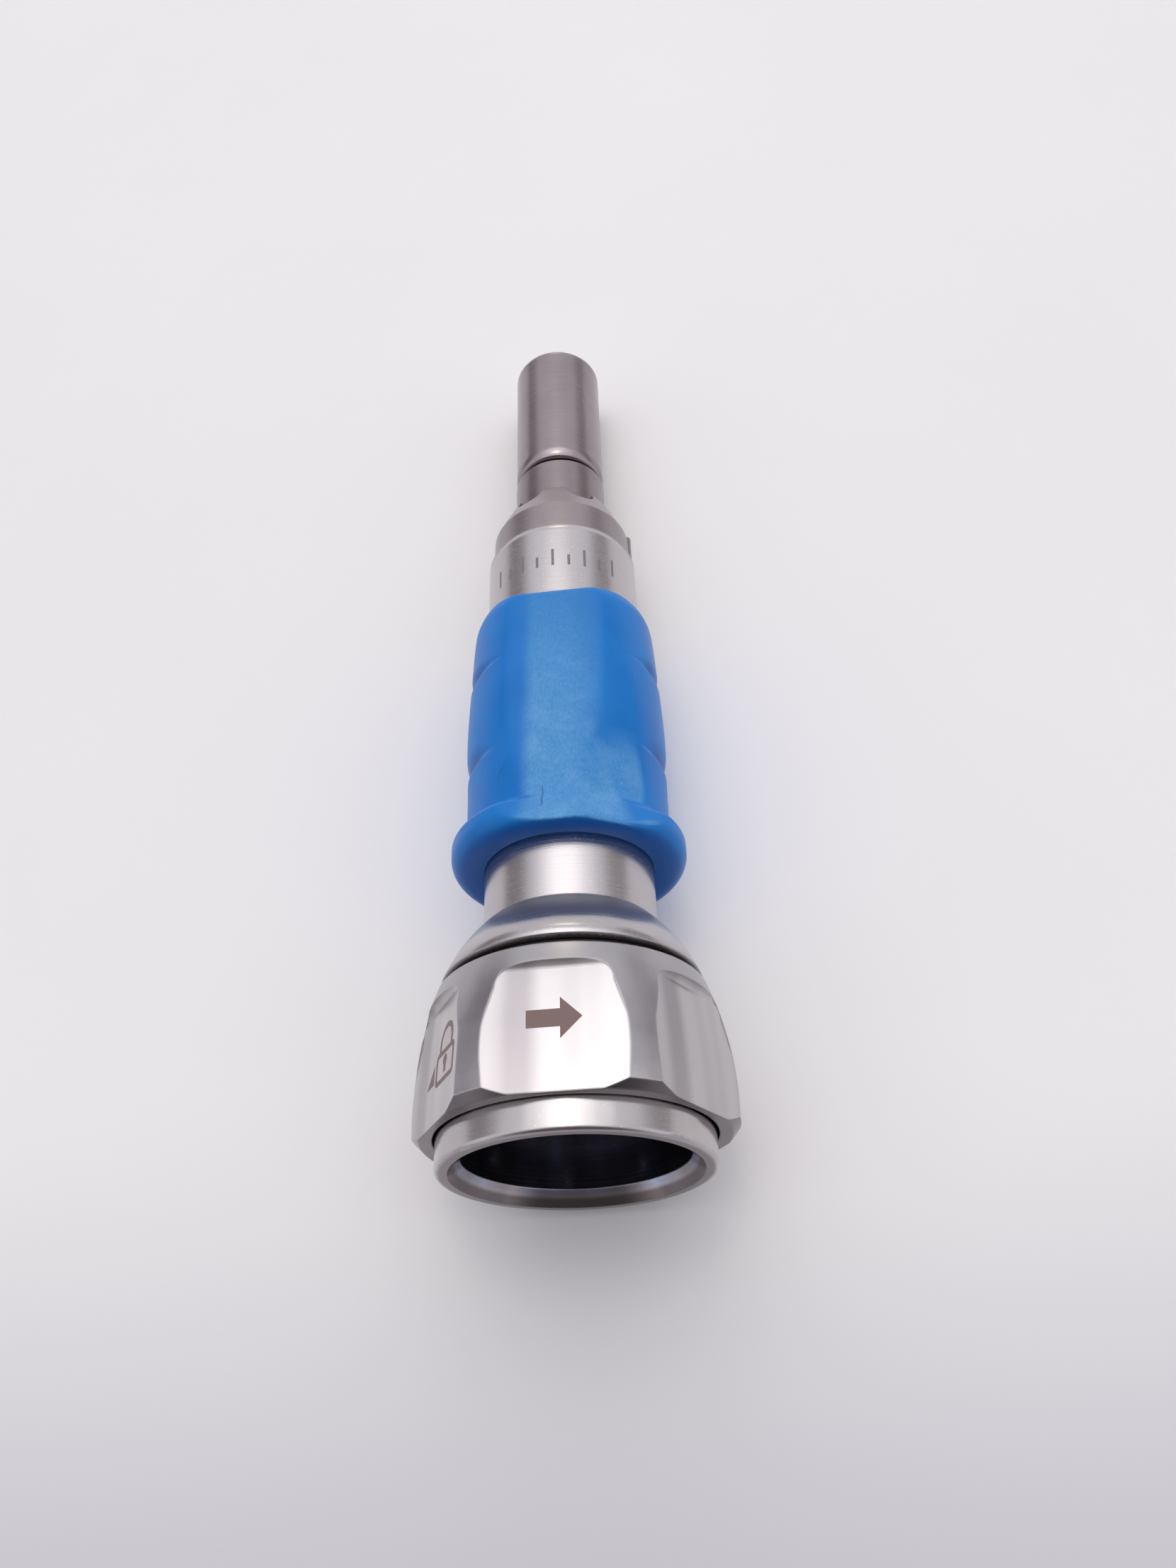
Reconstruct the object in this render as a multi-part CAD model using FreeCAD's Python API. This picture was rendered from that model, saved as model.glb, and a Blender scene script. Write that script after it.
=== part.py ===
"""Handpiece of a high-speed surgical drill, with a rear motor socket and a nose for a guard.

The handpiece lies along Y with its nose at +Y and +Z up. Stations (names ending in _Y) are distances
from the mouth of the socket along the axis. The part's origin is on the axis at the socket's stop face,
where the motor's spigot seats, so every solid is moved back by STOP_Y before it is written.
Names ending in _R are radii. A pair of numbers is a point: its station, then its distance from the axis.
Angles are counted about +Y from +Z towards +X. All lengths are in millimetres.
"""
import FreeCAD, Part
import math
import os

Vector = FreeCAD.Vector
CENTRE = Vector(0, 0, 0)
AXIS = Vector(0, 1, 0)

# Socket for the motor's spigot
MOUTH_R = 10.0
MOUTH_EDGE_R = 0.33
MOUTH_INNER_R = 9.08
SOCKET_R = 8.2
LEAD_IN = 1.15
STOP_Y = 9.2
STOP_LIP = 0.5
STOP_LIP_R = 7.4
FLANGE_END_Y = 4.0
RUNNING_R = 9.45
THREAD_Y = 12.9
THREAD_R = 8.9
SLEEVE_BORE_R = 8.15
SOCKET_END_Y = 14.8

# Locking ring
RING_REAR_Y = 2.3
RING_FRONT_Y = 13.08
RING_FRONT_R = 10.24
RING_MAX_R = 11.78
RING_MAX_Y = 4.2
RING_CHAMFER_R = 11.15
RING_CHAMFER_Y = 2.9
RING_COUNTERBORE_R = 10.2
RING_SHOULDER_Y = 4.6
RING_BORE_R = 9.5
RING_TRAVEL_DEG = 40.0
PANELS = 6
PANEL_REAR_D = 10.71
PANEL_MIDDLE = (7.0, 10.57)
PANEL_FRONT_D = 10.22
PANEL_END_Y = 11.55
PANEL_NOSE_R = 0.45
PANEL_HALF_WIDTH = 5.3
PANEL_TAPER_Y = 6.0
PANEL_FRONT_HALF_WIDTH = 4.1
PANEL_CORNER_R = 1.6

# Balls that lock the spigot, and the ramps in the ring that push them in
LOCK_BALLS = 3
LOCK_BALL_R = 1.0
LOCK_BALL_Y = 6.6
LOCK_BALL_REST_R = 9.25
LOCK_BALL_ANGLE = 22.0
LOCK_BALL_HOLE_R = 1.04
RAMP_TOP_R = 10.30
RAMP_OFFSET = 1.34
RAMP_TOP_ANGLE = 8.0
RAMP_HALF_WIDTH = 1.1

# Release sleeve and its cam pins
SLEEVE_DISC_Y = 10.8
SLEEVE_DISC_END_Y = 13.0
SLEEVE_DISC_R = 8.1
SLEEVE_TUBE_R = 5.1
SLEEVE_INNER_R = 4.3
SLEEVE_END_Y = 17.9
SLEEVE_TRAVEL = 1.0
CAM_PIN_R = 0.75
CAM_PIN_Y = 11.8
CAM_PIN_INNER_R = 6.6
CAM_PIN_OUTER_R = 9.9
CAM_PIN_ANGLES = (90.0, 270.0)
CAM_GROOVE_R = 10.0
CAM_GROOVE_HALF_WIDTH = 0.83
CAM_SLOT_REAR_Y = 9.95
CAM_SLOT_HALF_WIDTH = 0.80

# Main housing: shoulder, neck, tube under the grip, collar
LIP_Y = 13.63
LIP_R = 9.93
LIP_EDGE = 0.3
SHOULDER_BULGE = (16.38, 8.66)
NECK_Y = 18.6
BODY_R = 6.8
GRIP_SEAT_R = 6.35
GRIP_SEAT_Y = 25.5
GRIP_SEAT_END_Y = 47.0
COLLAR_END_Y = 56.4
COLLAR_CHAMFER = 0.3
HOUSING_CUP_R = 7.0
REAR_BORE_R = 5.2
REAR_BORE_Y = 17.5
BEARING_BORE_R = 5.5

# Blue grip: flange, body, and the planes of the flats and thumb scoops
GRIP_REAR_Y = 23.75
GRIP_FRONT_Y = 49.0
FLANGE_R = 9.5
FLANGE_REAR_EDGE_R = 1.35
FLANGE_CREST_END_Y = 25.75
FLANGE_FRONT_EDGE_R = 0.45
FLANGE_ROOT_R = 0.75
GRIP_WAIST = (31.0, 8.32)
GRIP_BELLY = (36.5, 8.45)
GRIP_TAPER = (43.0, 8.19)
GRIP_SHOULDER = (46.8, 7.98)
GRIP_FRONT_ROUND = (48.45, 7.53)
GRIP_FRONT_R = 6.95
FLAT_CREST = (24.0, 8.88)
FLAT_FOOT = (27.4, 7.88)
FLAT_FRONT = (50.0, 6.86)
SCOOP_ANGLE = 29.5
SCOOP_CREST = (24.0, 8.85)
SCOOP_FOOT = (27.1, 7.68)
SCOOP_FRONT = (50.0, 8.96)
RELIEF_TOP = (47.52, 9.0)
RELIEF_LOW = (49.23, 3.0)
NOTCHES = ((32.4, 8.37), (41.4, 8.25))
NOTCH_ANGLE = 97.5
NOTCH_DEPTH = 0.45
NOTCH_SHIFT = 1.6
NOTCH_STEEP = 0.4
NOTCH_GENTLE = 1.7

# Crown of dogs, index pin, nose
CROWN_END_Y = 62.9
CROWN_BASE_R = 6.45
CROWN_KNEE = (59.4, 6.34)
CROWN_TOP_R = 4.75
DOGS = 6
DOG_GAP_R = 1.3
DOG_GAP_Y = 62.4
INDEX_PIN_R = 0.5
INDEX_PIN_AT_R = 6.15
INDEX_PIN_ANGLE = 95.0
INDEX_PIN_Y = (55.0, 60.5)
NOSE_TUBE_R = 4.3
NOSE_JOINT_Y = 67.3
NOSE_GROOVE = 0.22
NOSE_SPIGOT_R = 3.7
NOSE_SPIGOT_END_Y = 72.0
NOSE_R = 4.25
NOSE_TIP_Y = 83.7
NOSE_TIP_EDGE_R = 0.8
NOSE_TIP_HOLE_R = 1.6
NOSE_BORE_R = 2.0
O_RING_Y = 70.3
O_RING_MINOR_R = 0.27
BUSH_Y = 69.0
BUSH_R = 2.6
SEAL_Y = (54.6, 56.2)
SEAL_R = 3.2

# Spindle, draw-in collet and chuck
SPINDLE_Y = (15.0, 54.0)
SPINDLE_HEAD_R = 3.0
SPRING_FLANGE_Y = (25.0, 26.6)
SPRING_FLANGE_R = 4.2
JOURNAL_R = 2.5
COLLET_R = 1.6
COLLET_Y = (17.0, 53.7)
COLLET_HEAD_R = 2.0
COLLET_CONE_Y = (51.0, 53.2)
CUTTER_R = 1.2
CHUCK_TRAVEL = 0.8
RUNNING_GAP = 0.05
COLLAR_Y = (18.0, 20.5)
COLLAR_R = 4.6
CROSS_PIN_R = 0.4
CROSS_PIN_Y = 19.2
DISC_STACK_Y = (20.6, 24.9)
DISC_INNER_R = 3.1
DISC_OUTER_R = 4.1
DISC_THICKNESS = 0.4
DISC_PLAY = 0.01
DISCS = 8
DRIVE_Y = (10.8, 16.6)
DRIVE_R = 3.9
DRIVE_BORE_R = 2.0
DRIVE_SLOT = (1.8, 13.6)
DRIVE_PIN_Y = 15.8
NUT_END_Y = 53.0
NUT_R = 3.3
NUT_FLATS = 5.6

# Ball bearings: rear and front pair, and the small one in the tip
BEARING_WIDTH = 3.5
REAR_BEARING_Y = 27.0
FRONT_BEARING_Y = 48.0
PITCH_R = 4.0
BALL_R = 0.8
BALLS = 7
RACE_EDGE_R = (3.45, 4.55)
TIP_BEARING_Y = 79.3
TIP_BEARING_WIDTH = 2.6
TIP_PITCH_R = 2.05
TIP_BALL_R = 0.42
TIP_BALLS = 8
TIP_RACE_EDGE_R = (1.80, 2.30)
TIP_SEAT_R = 3.0
GROOVE_GAP = 0.04
PRELOAD_THICKNESS = 0.4


def point(y, r):
    """Point of a turned profile, in the half-plane through +X."""
    return Vector(r, y, 0)


def profile_face(start, steps):
    """Closed face in the X-Y plane; a step is (y, r), or (y_mid, r_mid, y, r) for an arc."""
    here = point(*start)
    edges = []
    for step in list(steps) + [start]:
        target = point(*step[-2:])
        if len(step) == 4:
            edges.append(Part.Arc(here, point(*step[:2]), target).toShape())
        elif here.distanceToPoint(target) > 1e-6:
            edges.append(Part.LineSegment(here, target).toShape())
        here = target
    return Part.Face(Part.Wire(edges))


def turned(start, *steps):
    """Solid of revolution about the handpiece's axis."""
    return profile_face(start, steps).revolve(CENTRE, AXIS, 360)


def sleeve(y0, y1, r_in, r_out):
    """Plain tube along the axis."""
    return turned((y0, r_in), (y0, r_out), (y1, r_out), (y1, r_in))


def rod(y0, y1, radius):
    """Plain rod along the axis."""
    return Part.makeCylinder(radius, y1 - y0, Vector(0, y0, 0), AXIS)


def turn(shape, degrees):
    """Copy of a shape that is made at the top (+Z), turned about the axis."""
    copy = shape.copy()
    copy.rotate(CENTRE, AXIS, degrees)
    return copy


def radial_pin(radius, y, r0, r1, degrees):
    """Rod that points away from the axis."""
    pin = Part.makeCylinder(radius, r1 - r0, Vector(0, y, r0), Vector(0, 0, 1))
    return turn(pin, degrees)


def round_about(shape, count, first=0.0):
    """The same shape at equal angles about the axis."""
    return [turn(shape, first + i * 360.0 / count) for i in range(count)]


def side_prism(points, half_width):
    """Prism across the axis at the top; its points are (y, z)."""
    corners = [Vector(-half_width, y, z) for y, z in points]
    face = Part.Face(Part.makePolygon(corners + corners[:1]))
    return face.extrude(Vector(2 * half_width, 0, 0))


def bow(radius):
    """How far the middle of a quarter-round edge lies inside its corner."""
    return radius * (1 - math.sqrt(0.5))


def line(a, b):
    """Straight edge."""
    return Part.LineSegment(Vector(*a), Vector(*b)).toShape()


def arc(a, b, c):
    """Arc through three points."""
    return Part.Arc(Vector(*a), Vector(*b), Vector(*c)).toShape()


def ring_radius(y):
    """Radius of the locking ring's barrel, thickest near its rear and closing towards its front."""
    along = (y - RING_MAX_Y) / (RING_FRONT_Y - RING_MAX_Y)
    return RING_MAX_R - (RING_MAX_R - RING_FRONT_R) * along ** 2.2


def panel_floor():
    """Space over a panel's floor, which bows towards the axis and turns up at its front end."""
    rear = RING_REAR_Y - 1.0
    tall = RING_MAX_R + 1.0
    nose_y = PANEL_END_Y - PANEL_NOSE_R
    nose_top = PANEL_FRONT_D + PANEL_NOSE_R
    x = -PANEL_HALF_WIDTH
    bend = (x, PANEL_END_Y - bow(PANEL_NOSE_R), PANEL_FRONT_D + bow(PANEL_NOSE_R))
    edges = [
        arc((x, rear, PANEL_REAR_D), (x, *PANEL_MIDDLE), (x, nose_y, PANEL_FRONT_D)),
        arc((x, nose_y, PANEL_FRONT_D), bend, (x, PANEL_END_Y, nose_top)),
        line((x, PANEL_END_Y, nose_top), (x, PANEL_END_Y, tall)),
        line((x, PANEL_END_Y, tall), (x, rear, tall)),
        line((x, rear, tall), (x, rear, PANEL_REAR_D))]
    return Part.Face(Part.Wire(edges)).extrude(Vector(2 * PANEL_HALF_WIDTH, 0, 0))


def panel_plan():
    """Column over a panel's outline: straight at the rear, tapered, with two round front corners."""
    rear = RING_REAR_Y - 1.0
    wide = PANEL_HALF_WIDTH
    corner = PANEL_FRONT_HALF_WIDTH
    flat = corner - PANEL_CORNER_R
    corner_y = PANEL_END_Y - PANEL_CORNER_R
    bend_x = corner - bow(PANEL_CORNER_R)
    bend_y = PANEL_END_Y - bow(PANEL_CORNER_R)
    edges = [
        line((-wide, rear, 0), (-wide, PANEL_TAPER_Y, 0)),
        line((-wide, PANEL_TAPER_Y, 0), (-corner, corner_y, 0)),
        arc((-corner, corner_y, 0), (-bend_x, bend_y, 0), (-flat, PANEL_END_Y, 0)),
        line((-flat, PANEL_END_Y, 0), (flat, PANEL_END_Y, 0)),
        arc((flat, PANEL_END_Y, 0), (bend_x, bend_y, 0), (corner, corner_y, 0)),
        line((corner, corner_y, 0), (wide, PANEL_TAPER_Y, 0)),
        line((wide, PANEL_TAPER_Y, 0), (wide, rear, 0)),
        line((wide, rear, 0), (-wide, rear, 0))]
    return Part.Face(Part.Wire(edges)).extrude(Vector(0, 0, RING_MAX_R + 2.0))


def panel_cutter():
    """What the mill takes away for one panel of the ring."""
    return panel_floor().common(panel_plan())


def ramp_cutter():
    """Crescent inside the ring: deep over the ball at rest, shallow after the ring's travel."""
    low = LOCK_BALL_Y - RAMP_HALF_WIDTH
    disc = Part.makeCylinder(RAMP_TOP_R - RAMP_OFFSET, 2 * RAMP_HALF_WIDTH, Vector(0, low, RAMP_OFFSET), AXIS)
    disc.rotate(CENTRE, AXIS, RAMP_TOP_ANGLE)
    wedge = Part.makeCylinder(RING_MAX_R, 2 * RAMP_HALF_WIDTH, Vector(0, low, 0), AXIS, 70.0)
    wedge.rotate(CENTRE, AXIS, wedge_start(wedge, RAMP_TOP_ANGLE + 4.0))
    return disc.common(wedge)


def wedge_start(wedge, end_angle):
    """Turn that brings a wedge's leading side to the given angle."""
    middle = wedge.CenterOfMass
    now = math.degrees(math.atan2(middle.x, middle.z))
    return end_angle - 35.0 - now


def cam_groove_cutter(pin_angle):
    """Slanted groove inside the ring that draws a cam pin back as the ring turns."""
    half_turn = RING_TRAVEL_DEG / 2
    reach = CAM_PIN_OUTER_R * math.sin(math.radians(half_turn)) + 0.12
    rise = math.degrees(math.atan2(SLEEVE_TRAVEL / 2, 9.7 * math.sin(math.radians(half_turn))))
    tall = RING_MAX_R - 8.0
    width = 2 * CAM_GROOVE_HALF_WIDTH
    slot = Part.makeBox(2 * reach, width, tall, Vector(-reach, -width / 2, 8.0))
    ends = [Part.makeCylinder(width / 2, tall, Vector(x, 0, 8.0), Vector(0, 0, 1)) for x in (-reach, reach)]
    slot = slot.fuse(ends)
    slot.rotate(CENTRE, Vector(0, 0, 1), rise)
    slot.translate(Vector(0, CAM_PIN_Y - SLEEVE_TRAVEL / 2, 0))
    slot = slot.common(rod(RING_REAR_Y, RING_FRONT_Y, CAM_GROOVE_R))
    return turn(slot, pin_angle - half_turn)


def locking_ring():
    """Barrel with six milled panels; ball ramps and cam grooves inside."""
    middle_y = (RING_MAX_Y + RING_FRONT_Y) / 2
    ring = turned(
        (RING_REAR_Y, RING_COUNTERBORE_R),
        (RING_REAR_Y, RING_CHAMFER_R),
        (RING_CHAMFER_Y, RING_MAX_R - 0.03),
        (RING_MAX_Y, RING_MAX_R),
        (middle_y, ring_radius(middle_y), RING_FRONT_Y, RING_FRONT_R),
        (RING_FRONT_Y, RING_BORE_R),
        (RING_SHOULDER_Y, RING_BORE_R),
        (RING_SHOULDER_Y, RING_COUNTERBORE_R))
    cutters = round_about(panel_cutter(), PANELS)
    cutters += round_about(ramp_cutter(), LOCK_BALLS, LOCK_BALL_ANGLE)
    cutters += [cam_groove_cutter(angle) for angle in CAM_PIN_ANGLES]
    return ring.cut(cutters)


def coupling_socket():
    """Socket with a chamfered mouth, a seat for the ring, ball holes and slots for the cam pins."""
    lip_end = STOP_Y + STOP_LIP
    socket = turned(
        (0, MOUTH_INNER_R),
        (0, MOUTH_R - MOUTH_EDGE_R),
        (bow(MOUTH_EDGE_R), MOUTH_R - bow(MOUTH_EDGE_R), MOUTH_EDGE_R, MOUTH_R),
        (FLANGE_END_Y, MOUTH_R),
        (FLANGE_END_Y, RUNNING_R),
        (THREAD_Y, RUNNING_R),
        (THREAD_Y, THREAD_R),
        (SOCKET_END_Y, THREAD_R),
        (SOCKET_END_Y, SLEEVE_BORE_R),
        (lip_end, SLEEVE_BORE_R),
        (lip_end, STOP_LIP_R),
        (STOP_Y, STOP_LIP_R),
        (STOP_Y, SOCKET_R),
        (LEAD_IN, SOCKET_R))
    hole = radial_pin(LOCK_BALL_HOLE_R, LOCK_BALL_Y, SOCKET_R - 1.0, RUNNING_R + 1.0, 0)
    slot = Part.makeBox(2 * CAM_SLOT_HALF_WIDTH, SOCKET_END_Y + 1.0 - CAM_SLOT_REAR_Y, 2.0,
                        Vector(-CAM_SLOT_HALF_WIDTH, CAM_SLOT_REAR_Y, SLEEVE_BORE_R - 0.2))
    cutters = round_about(hole, LOCK_BALLS, LOCK_BALL_ANGLE)
    cutters += [turn(slot, angle) for angle in CAM_PIN_ANGLES]
    return socket.cut(cutters)


def lock_ball(index):
    """Ball drawn back out of the bore, as it is with the ring open."""
    ball = Part.makeSphere(LOCK_BALL_R, Vector(0, LOCK_BALL_Y, LOCK_BALL_REST_R))
    return turn(ball, LOCK_BALL_ANGLE + index * 360.0 / LOCK_BALLS)


def release_sleeve():
    """Disc that holds the cam pins, and the tube that pushes the chuck collar."""
    body = turned(
        (SLEEVE_DISC_Y, SLEEVE_INNER_R),
        (SLEEVE_DISC_Y, SLEEVE_DISC_R),
        (SLEEVE_DISC_END_Y, SLEEVE_DISC_R),
        (SLEEVE_DISC_END_Y, SLEEVE_TUBE_R),
        (SLEEVE_END_Y, SLEEVE_TUBE_R),
        (SLEEVE_END_Y, SLEEVE_INNER_R))
    return body.cut([cam_pin(angle) for angle in CAM_PIN_ANGLES])


def cam_pin(angle):
    """One cam pin, from its hole in the release sleeve into the ring's groove."""
    return radial_pin(CAM_PIN_R, CAM_PIN_Y, CAM_PIN_INNER_R, CAM_PIN_OUTER_R, angle)


def cam_pins():
    """Both cam pins."""
    return Part.makeCompound([cam_pin(angle) for angle in CAM_PIN_ANGLES])


def housing_outside():
    """Outer form of the housing as a full turned solid: rounded shoulder, neck, grip seat, collar."""
    return turned(
        (LIP_Y, 0),
        (LIP_Y, LIP_R - LIP_EDGE),
        (LIP_Y + bow(LIP_EDGE), LIP_R - bow(LIP_EDGE), LIP_Y + LIP_EDGE, LIP_R),
        (*SHOULDER_BULGE, NECK_Y, BODY_R),
        (GRIP_SEAT_Y, BODY_R),
        (GRIP_SEAT_Y, GRIP_SEAT_R),
        (GRIP_SEAT_END_Y, GRIP_SEAT_R),
        (GRIP_SEAT_END_Y, BODY_R),
        (COLLAR_END_Y - COLLAR_CHAMFER, BODY_R),
        (COLLAR_END_Y, BODY_R - COLLAR_CHAMFER),
        (COLLAR_END_Y, 0))


def housing_inside():
    """Everything that is bored out of the housing."""
    return turned(
        (LIP_Y - 1.0, 0),
        (LIP_Y - 1.0, THREAD_R),
        (SOCKET_END_Y, THREAD_R),
        (SOCKET_END_Y, HOUSING_CUP_R),
        (REAR_BORE_Y - 1.5, HOUSING_CUP_R),
        (REAR_BORE_Y, REAR_BORE_R),
        (REAR_BEARING_Y, REAR_BORE_R),
        (REAR_BEARING_Y, BEARING_BORE_R),
        (COLLAR_END_Y + 1.0, BEARING_BORE_R),
        (COLLAR_END_Y + 1.0, 0))


def main_housing():
    """Shoulder, neck, tube under the grip and collar, in one turned piece."""
    return housing_outside().cut([housing_inside(), index_pin()])


def index_pin():
    """Small peg in the front face that sets a guard's angle."""
    low, high = INDEX_PIN_Y
    shank = Part.makeCylinder(INDEX_PIN_R, high - INDEX_PIN_R * 0.5 - low,
                              Vector(0, low, INDEX_PIN_AT_R), AXIS)
    tip = Part.makeCone(INDEX_PIN_R, INDEX_PIN_R * 0.5, INDEX_PIN_R * 0.5,
                        Vector(0, high - INDEX_PIN_R * 0.5, INDEX_PIN_AT_R), AXIS)
    return turn(shank.fuse(tip).removeSplitter(), INDEX_PIN_ANGLE)


def flat_cutter(crest, foot, front, degrees):
    """Flat on the grip that rises in a bevel to the flange's crest."""
    tall = FLANGE_R + 2.0
    slope = (crest[1] - foot[1]) / (crest[0] - foot[0])
    top = (foot[0] + (tall - foot[1]) / slope, tall)
    prism = side_prism([foot, top, (front[0], tall), front], FLANGE_R + 1.0)
    return turn(prism, degrees)


def relief_cutter(degrees):
    """Slanted cut that sets the grip's front edge back over a flat."""
    past_front = GRIP_FRONT_Y + 1.0
    prism = side_prism([RELIEF_TOP, RELIEF_LOW, (past_front, RELIEF_LOW[1]), (past_front, RELIEF_TOP[1])],
                       FLANGE_R + 1.0)
    return turn(prism, degrees)


def notch_cutter(y, surface_r, degrees):
    """Crescent finger notch: a saw-tooth groove turned about an axis beside the handpiece's own."""
    rim = surface_r + NOTCH_SHIFT + 1.2
    floor = surface_r + NOTCH_SHIFT - NOTCH_DEPTH
    grow = (rim - floor) / NOTCH_DEPTH
    tooth = turned((y, floor), (y - NOTCH_STEEP * grow, rim), (y + NOTCH_GENTLE * grow, rim))
    tooth.translate(Vector(0, 0, -NOTCH_SHIFT))
    size = 4 * FLANGE_R
    near_side = Part.makeBox(size, size, size, Vector(-size / 2, y - size / 2, 2.0))
    return turn(tooth.common(near_side), degrees)


def grip_outside():
    """Turned form of the grip: a flange with a rounded crest, and a body that swells and tapers."""
    rear_edge = FLANGE_REAR_EDGE_R
    front_edge = FLANGE_FRONT_EDGE_R
    front_y = FLANGE_CREST_END_Y + front_edge
    front_r = FLANGE_R - front_edge
    root_bow = FLANGE_ROOT_R - bow(FLANGE_ROOT_R)
    return turned(
        (GRIP_REAR_Y, 0),
        (GRIP_REAR_Y, FLANGE_R - rear_edge),
        (GRIP_REAR_Y + bow(rear_edge), FLANGE_R - bow(rear_edge), GRIP_REAR_Y + rear_edge, FLANGE_R),
        (FLANGE_CREST_END_Y, FLANGE_R),
        (front_y - bow(front_edge), FLANGE_R - bow(front_edge), front_y, front_r),
        (front_y + bow(FLANGE_ROOT_R), front_r - root_bow, front_y + FLANGE_ROOT_R, front_r - FLANGE_ROOT_R),
        GRIP_WAIST,
        (*GRIP_BELLY, *GRIP_TAPER),
        GRIP_SHOULDER,
        (*GRIP_FRONT_ROUND, GRIP_FRONT_Y, GRIP_FRONT_R),
        (GRIP_FRONT_Y, 0))


def grip_sleeve():
    """Sleeve moulded over the housing, with a rear flange, flats, thumb scoops and finger notches."""
    cutters = [housing_outside()]
    for half_turn in (0.0, 180.0):
        cutters.append(flat_cutter(FLAT_CREST, FLAT_FOOT, FLAT_FRONT, half_turn))
        cutters.append(flat_cutter(SCOOP_CREST, SCOOP_FOOT, SCOOP_FRONT, SCOOP_ANGLE + half_turn))
        cutters.append(relief_cutter(half_turn))
        for y, surface_r in NOTCHES:
            cutters.append(notch_cutter(y, surface_r, NOTCH_ANGLE + half_turn))
    return grip_outside().cut(cutters)


def index_crown():
    """Ring of tapered dogs; a guard's teeth drop into the gaps between them."""
    blank = turned(
        (COLLAR_END_Y, NOSE_TUBE_R),
        (COLLAR_END_Y, CROWN_BASE_R),
        CROWN_KNEE,
        (CROWN_END_Y, CROWN_TOP_R),
        (CROWN_END_Y, NOSE_TUBE_R))
    gap = radial_pin(DOG_GAP_R, DOG_GAP_Y, 2.0, CROWN_BASE_R + 1.0, 0)
    mouth = Part.makeBox(2 * DOG_GAP_R, 2.0, CROWN_BASE_R - 1.0, Vector(-DOG_GAP_R, DOG_GAP_Y, 2.0))
    cutters = round_about(gap.fuse(mouth), DOGS, 180.0 / DOGS)
    return blank.cut(cutters + [index_pin()])


def nose_tube():
    """Rear part of the nose: a flange inside the collar, and a spigot for the nose sleeve."""
    o_ring_low = O_RING_Y - 0.35
    o_ring_high = O_RING_Y + 0.35
    groove_r = 3.15
    return turned(
        (FRONT_BEARING_Y + BEARING_WIDTH, 4.2),
        (FRONT_BEARING_Y + BEARING_WIDTH, BEARING_BORE_R),
        (COLLAR_END_Y, BEARING_BORE_R),
        (COLLAR_END_Y, NOSE_TUBE_R),
        (NOSE_JOINT_Y - 0.2, NOSE_TUBE_R),
        (NOSE_JOINT_Y, NOSE_TUBE_R - 0.2),
        (NOSE_JOINT_Y, NOSE_SPIGOT_R),
        (o_ring_low, NOSE_SPIGOT_R),
        (o_ring_low, groove_r),
        (o_ring_high, groove_r),
        (o_ring_high, NOSE_SPIGOT_R),
        (NOSE_SPIGOT_END_Y, NOSE_SPIGOT_R),
        (NOSE_SPIGOT_END_Y, BUSH_R),
        (BUSH_Y, BUSH_R),
        (BUSH_Y, NOSE_BORE_R),
        (SEAL_Y[1], NOSE_BORE_R),
        (SEAL_Y[1], SEAL_R),
        (SEAL_Y[0], SEAL_R),
        (SEAL_Y[0], 4.2))


def nose_sleeve():
    """Front part of the nose with a rounded tip; holds the tip bearing."""
    rear = NOSE_JOINT_Y + NOSE_GROOVE
    rear_edge = 0.35
    seat_end = TIP_BEARING_Y + TIP_BEARING_WIDTH
    tip_bow = bow(NOSE_TIP_EDGE_R)
    return turned(
        (rear, NOSE_SPIGOT_R),
        (rear, NOSE_R - rear_edge),
        (rear + bow(rear_edge), NOSE_R - bow(rear_edge), rear + rear_edge, NOSE_R),
        (NOSE_TIP_Y - NOSE_TIP_EDGE_R, NOSE_R),
        (NOSE_TIP_Y - tip_bow, NOSE_R - tip_bow, NOSE_TIP_Y, NOSE_R - NOSE_TIP_EDGE_R),
        (NOSE_TIP_Y, NOSE_TIP_HOLE_R + 0.3),
        (NOSE_TIP_Y - 0.3, NOSE_TIP_HOLE_R),
        (seat_end, NOSE_TIP_HOLE_R),
        (seat_end, TIP_SEAT_R),
        (TIP_BEARING_Y, TIP_SEAT_R),
        (TIP_BEARING_Y, TIP_SEAT_R + 0.25),
        (TIP_BEARING_Y - 0.5, TIP_SEAT_R + 0.25),
        (TIP_BEARING_Y - 0.5, TIP_SEAT_R),
        (NOSE_SPIGOT_END_Y + 0.4, TIP_SEAT_R),
        (NOSE_SPIGOT_END_Y + 0.4, NOSE_SPIGOT_R))


def tip_retaining_ring():
    """Split ring in the groove behind the tip bearing."""
    ring = sleeve(TIP_BEARING_Y - 0.5, TIP_BEARING_Y, TIP_SEAT_R - 0.55, TIP_SEAT_R + 0.25)
    gap = Part.makeBox(1.2, 3.0, 3.0, Vector(-0.6, TIP_BEARING_Y - 2.0, 1.5))
    return ring.cut(gap)


def nose_o_ring():
    """Seal between the nose tube and the nose sleeve."""
    return Part.makeTorus(NOSE_SPIGOT_R - 0.01 - O_RING_MINOR_R, O_RING_MINOR_R, Vector(0, O_RING_Y, 0), AXIS)


def nose_guide_bush():
    """Bush that guides the cutter's shank, with a lead-in at each end."""
    return turned((BUSH_Y, CUTTER_R + 0.3), (BUSH_Y, BUSH_R), (NOSE_SPIGOT_END_Y, BUSH_R),
                  (NOSE_SPIGOT_END_Y, CUTTER_R + 0.3), (NOSE_SPIGOT_END_Y - 0.3, CUTTER_R),
                  (BUSH_Y + 0.3, CUTTER_R))


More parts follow.
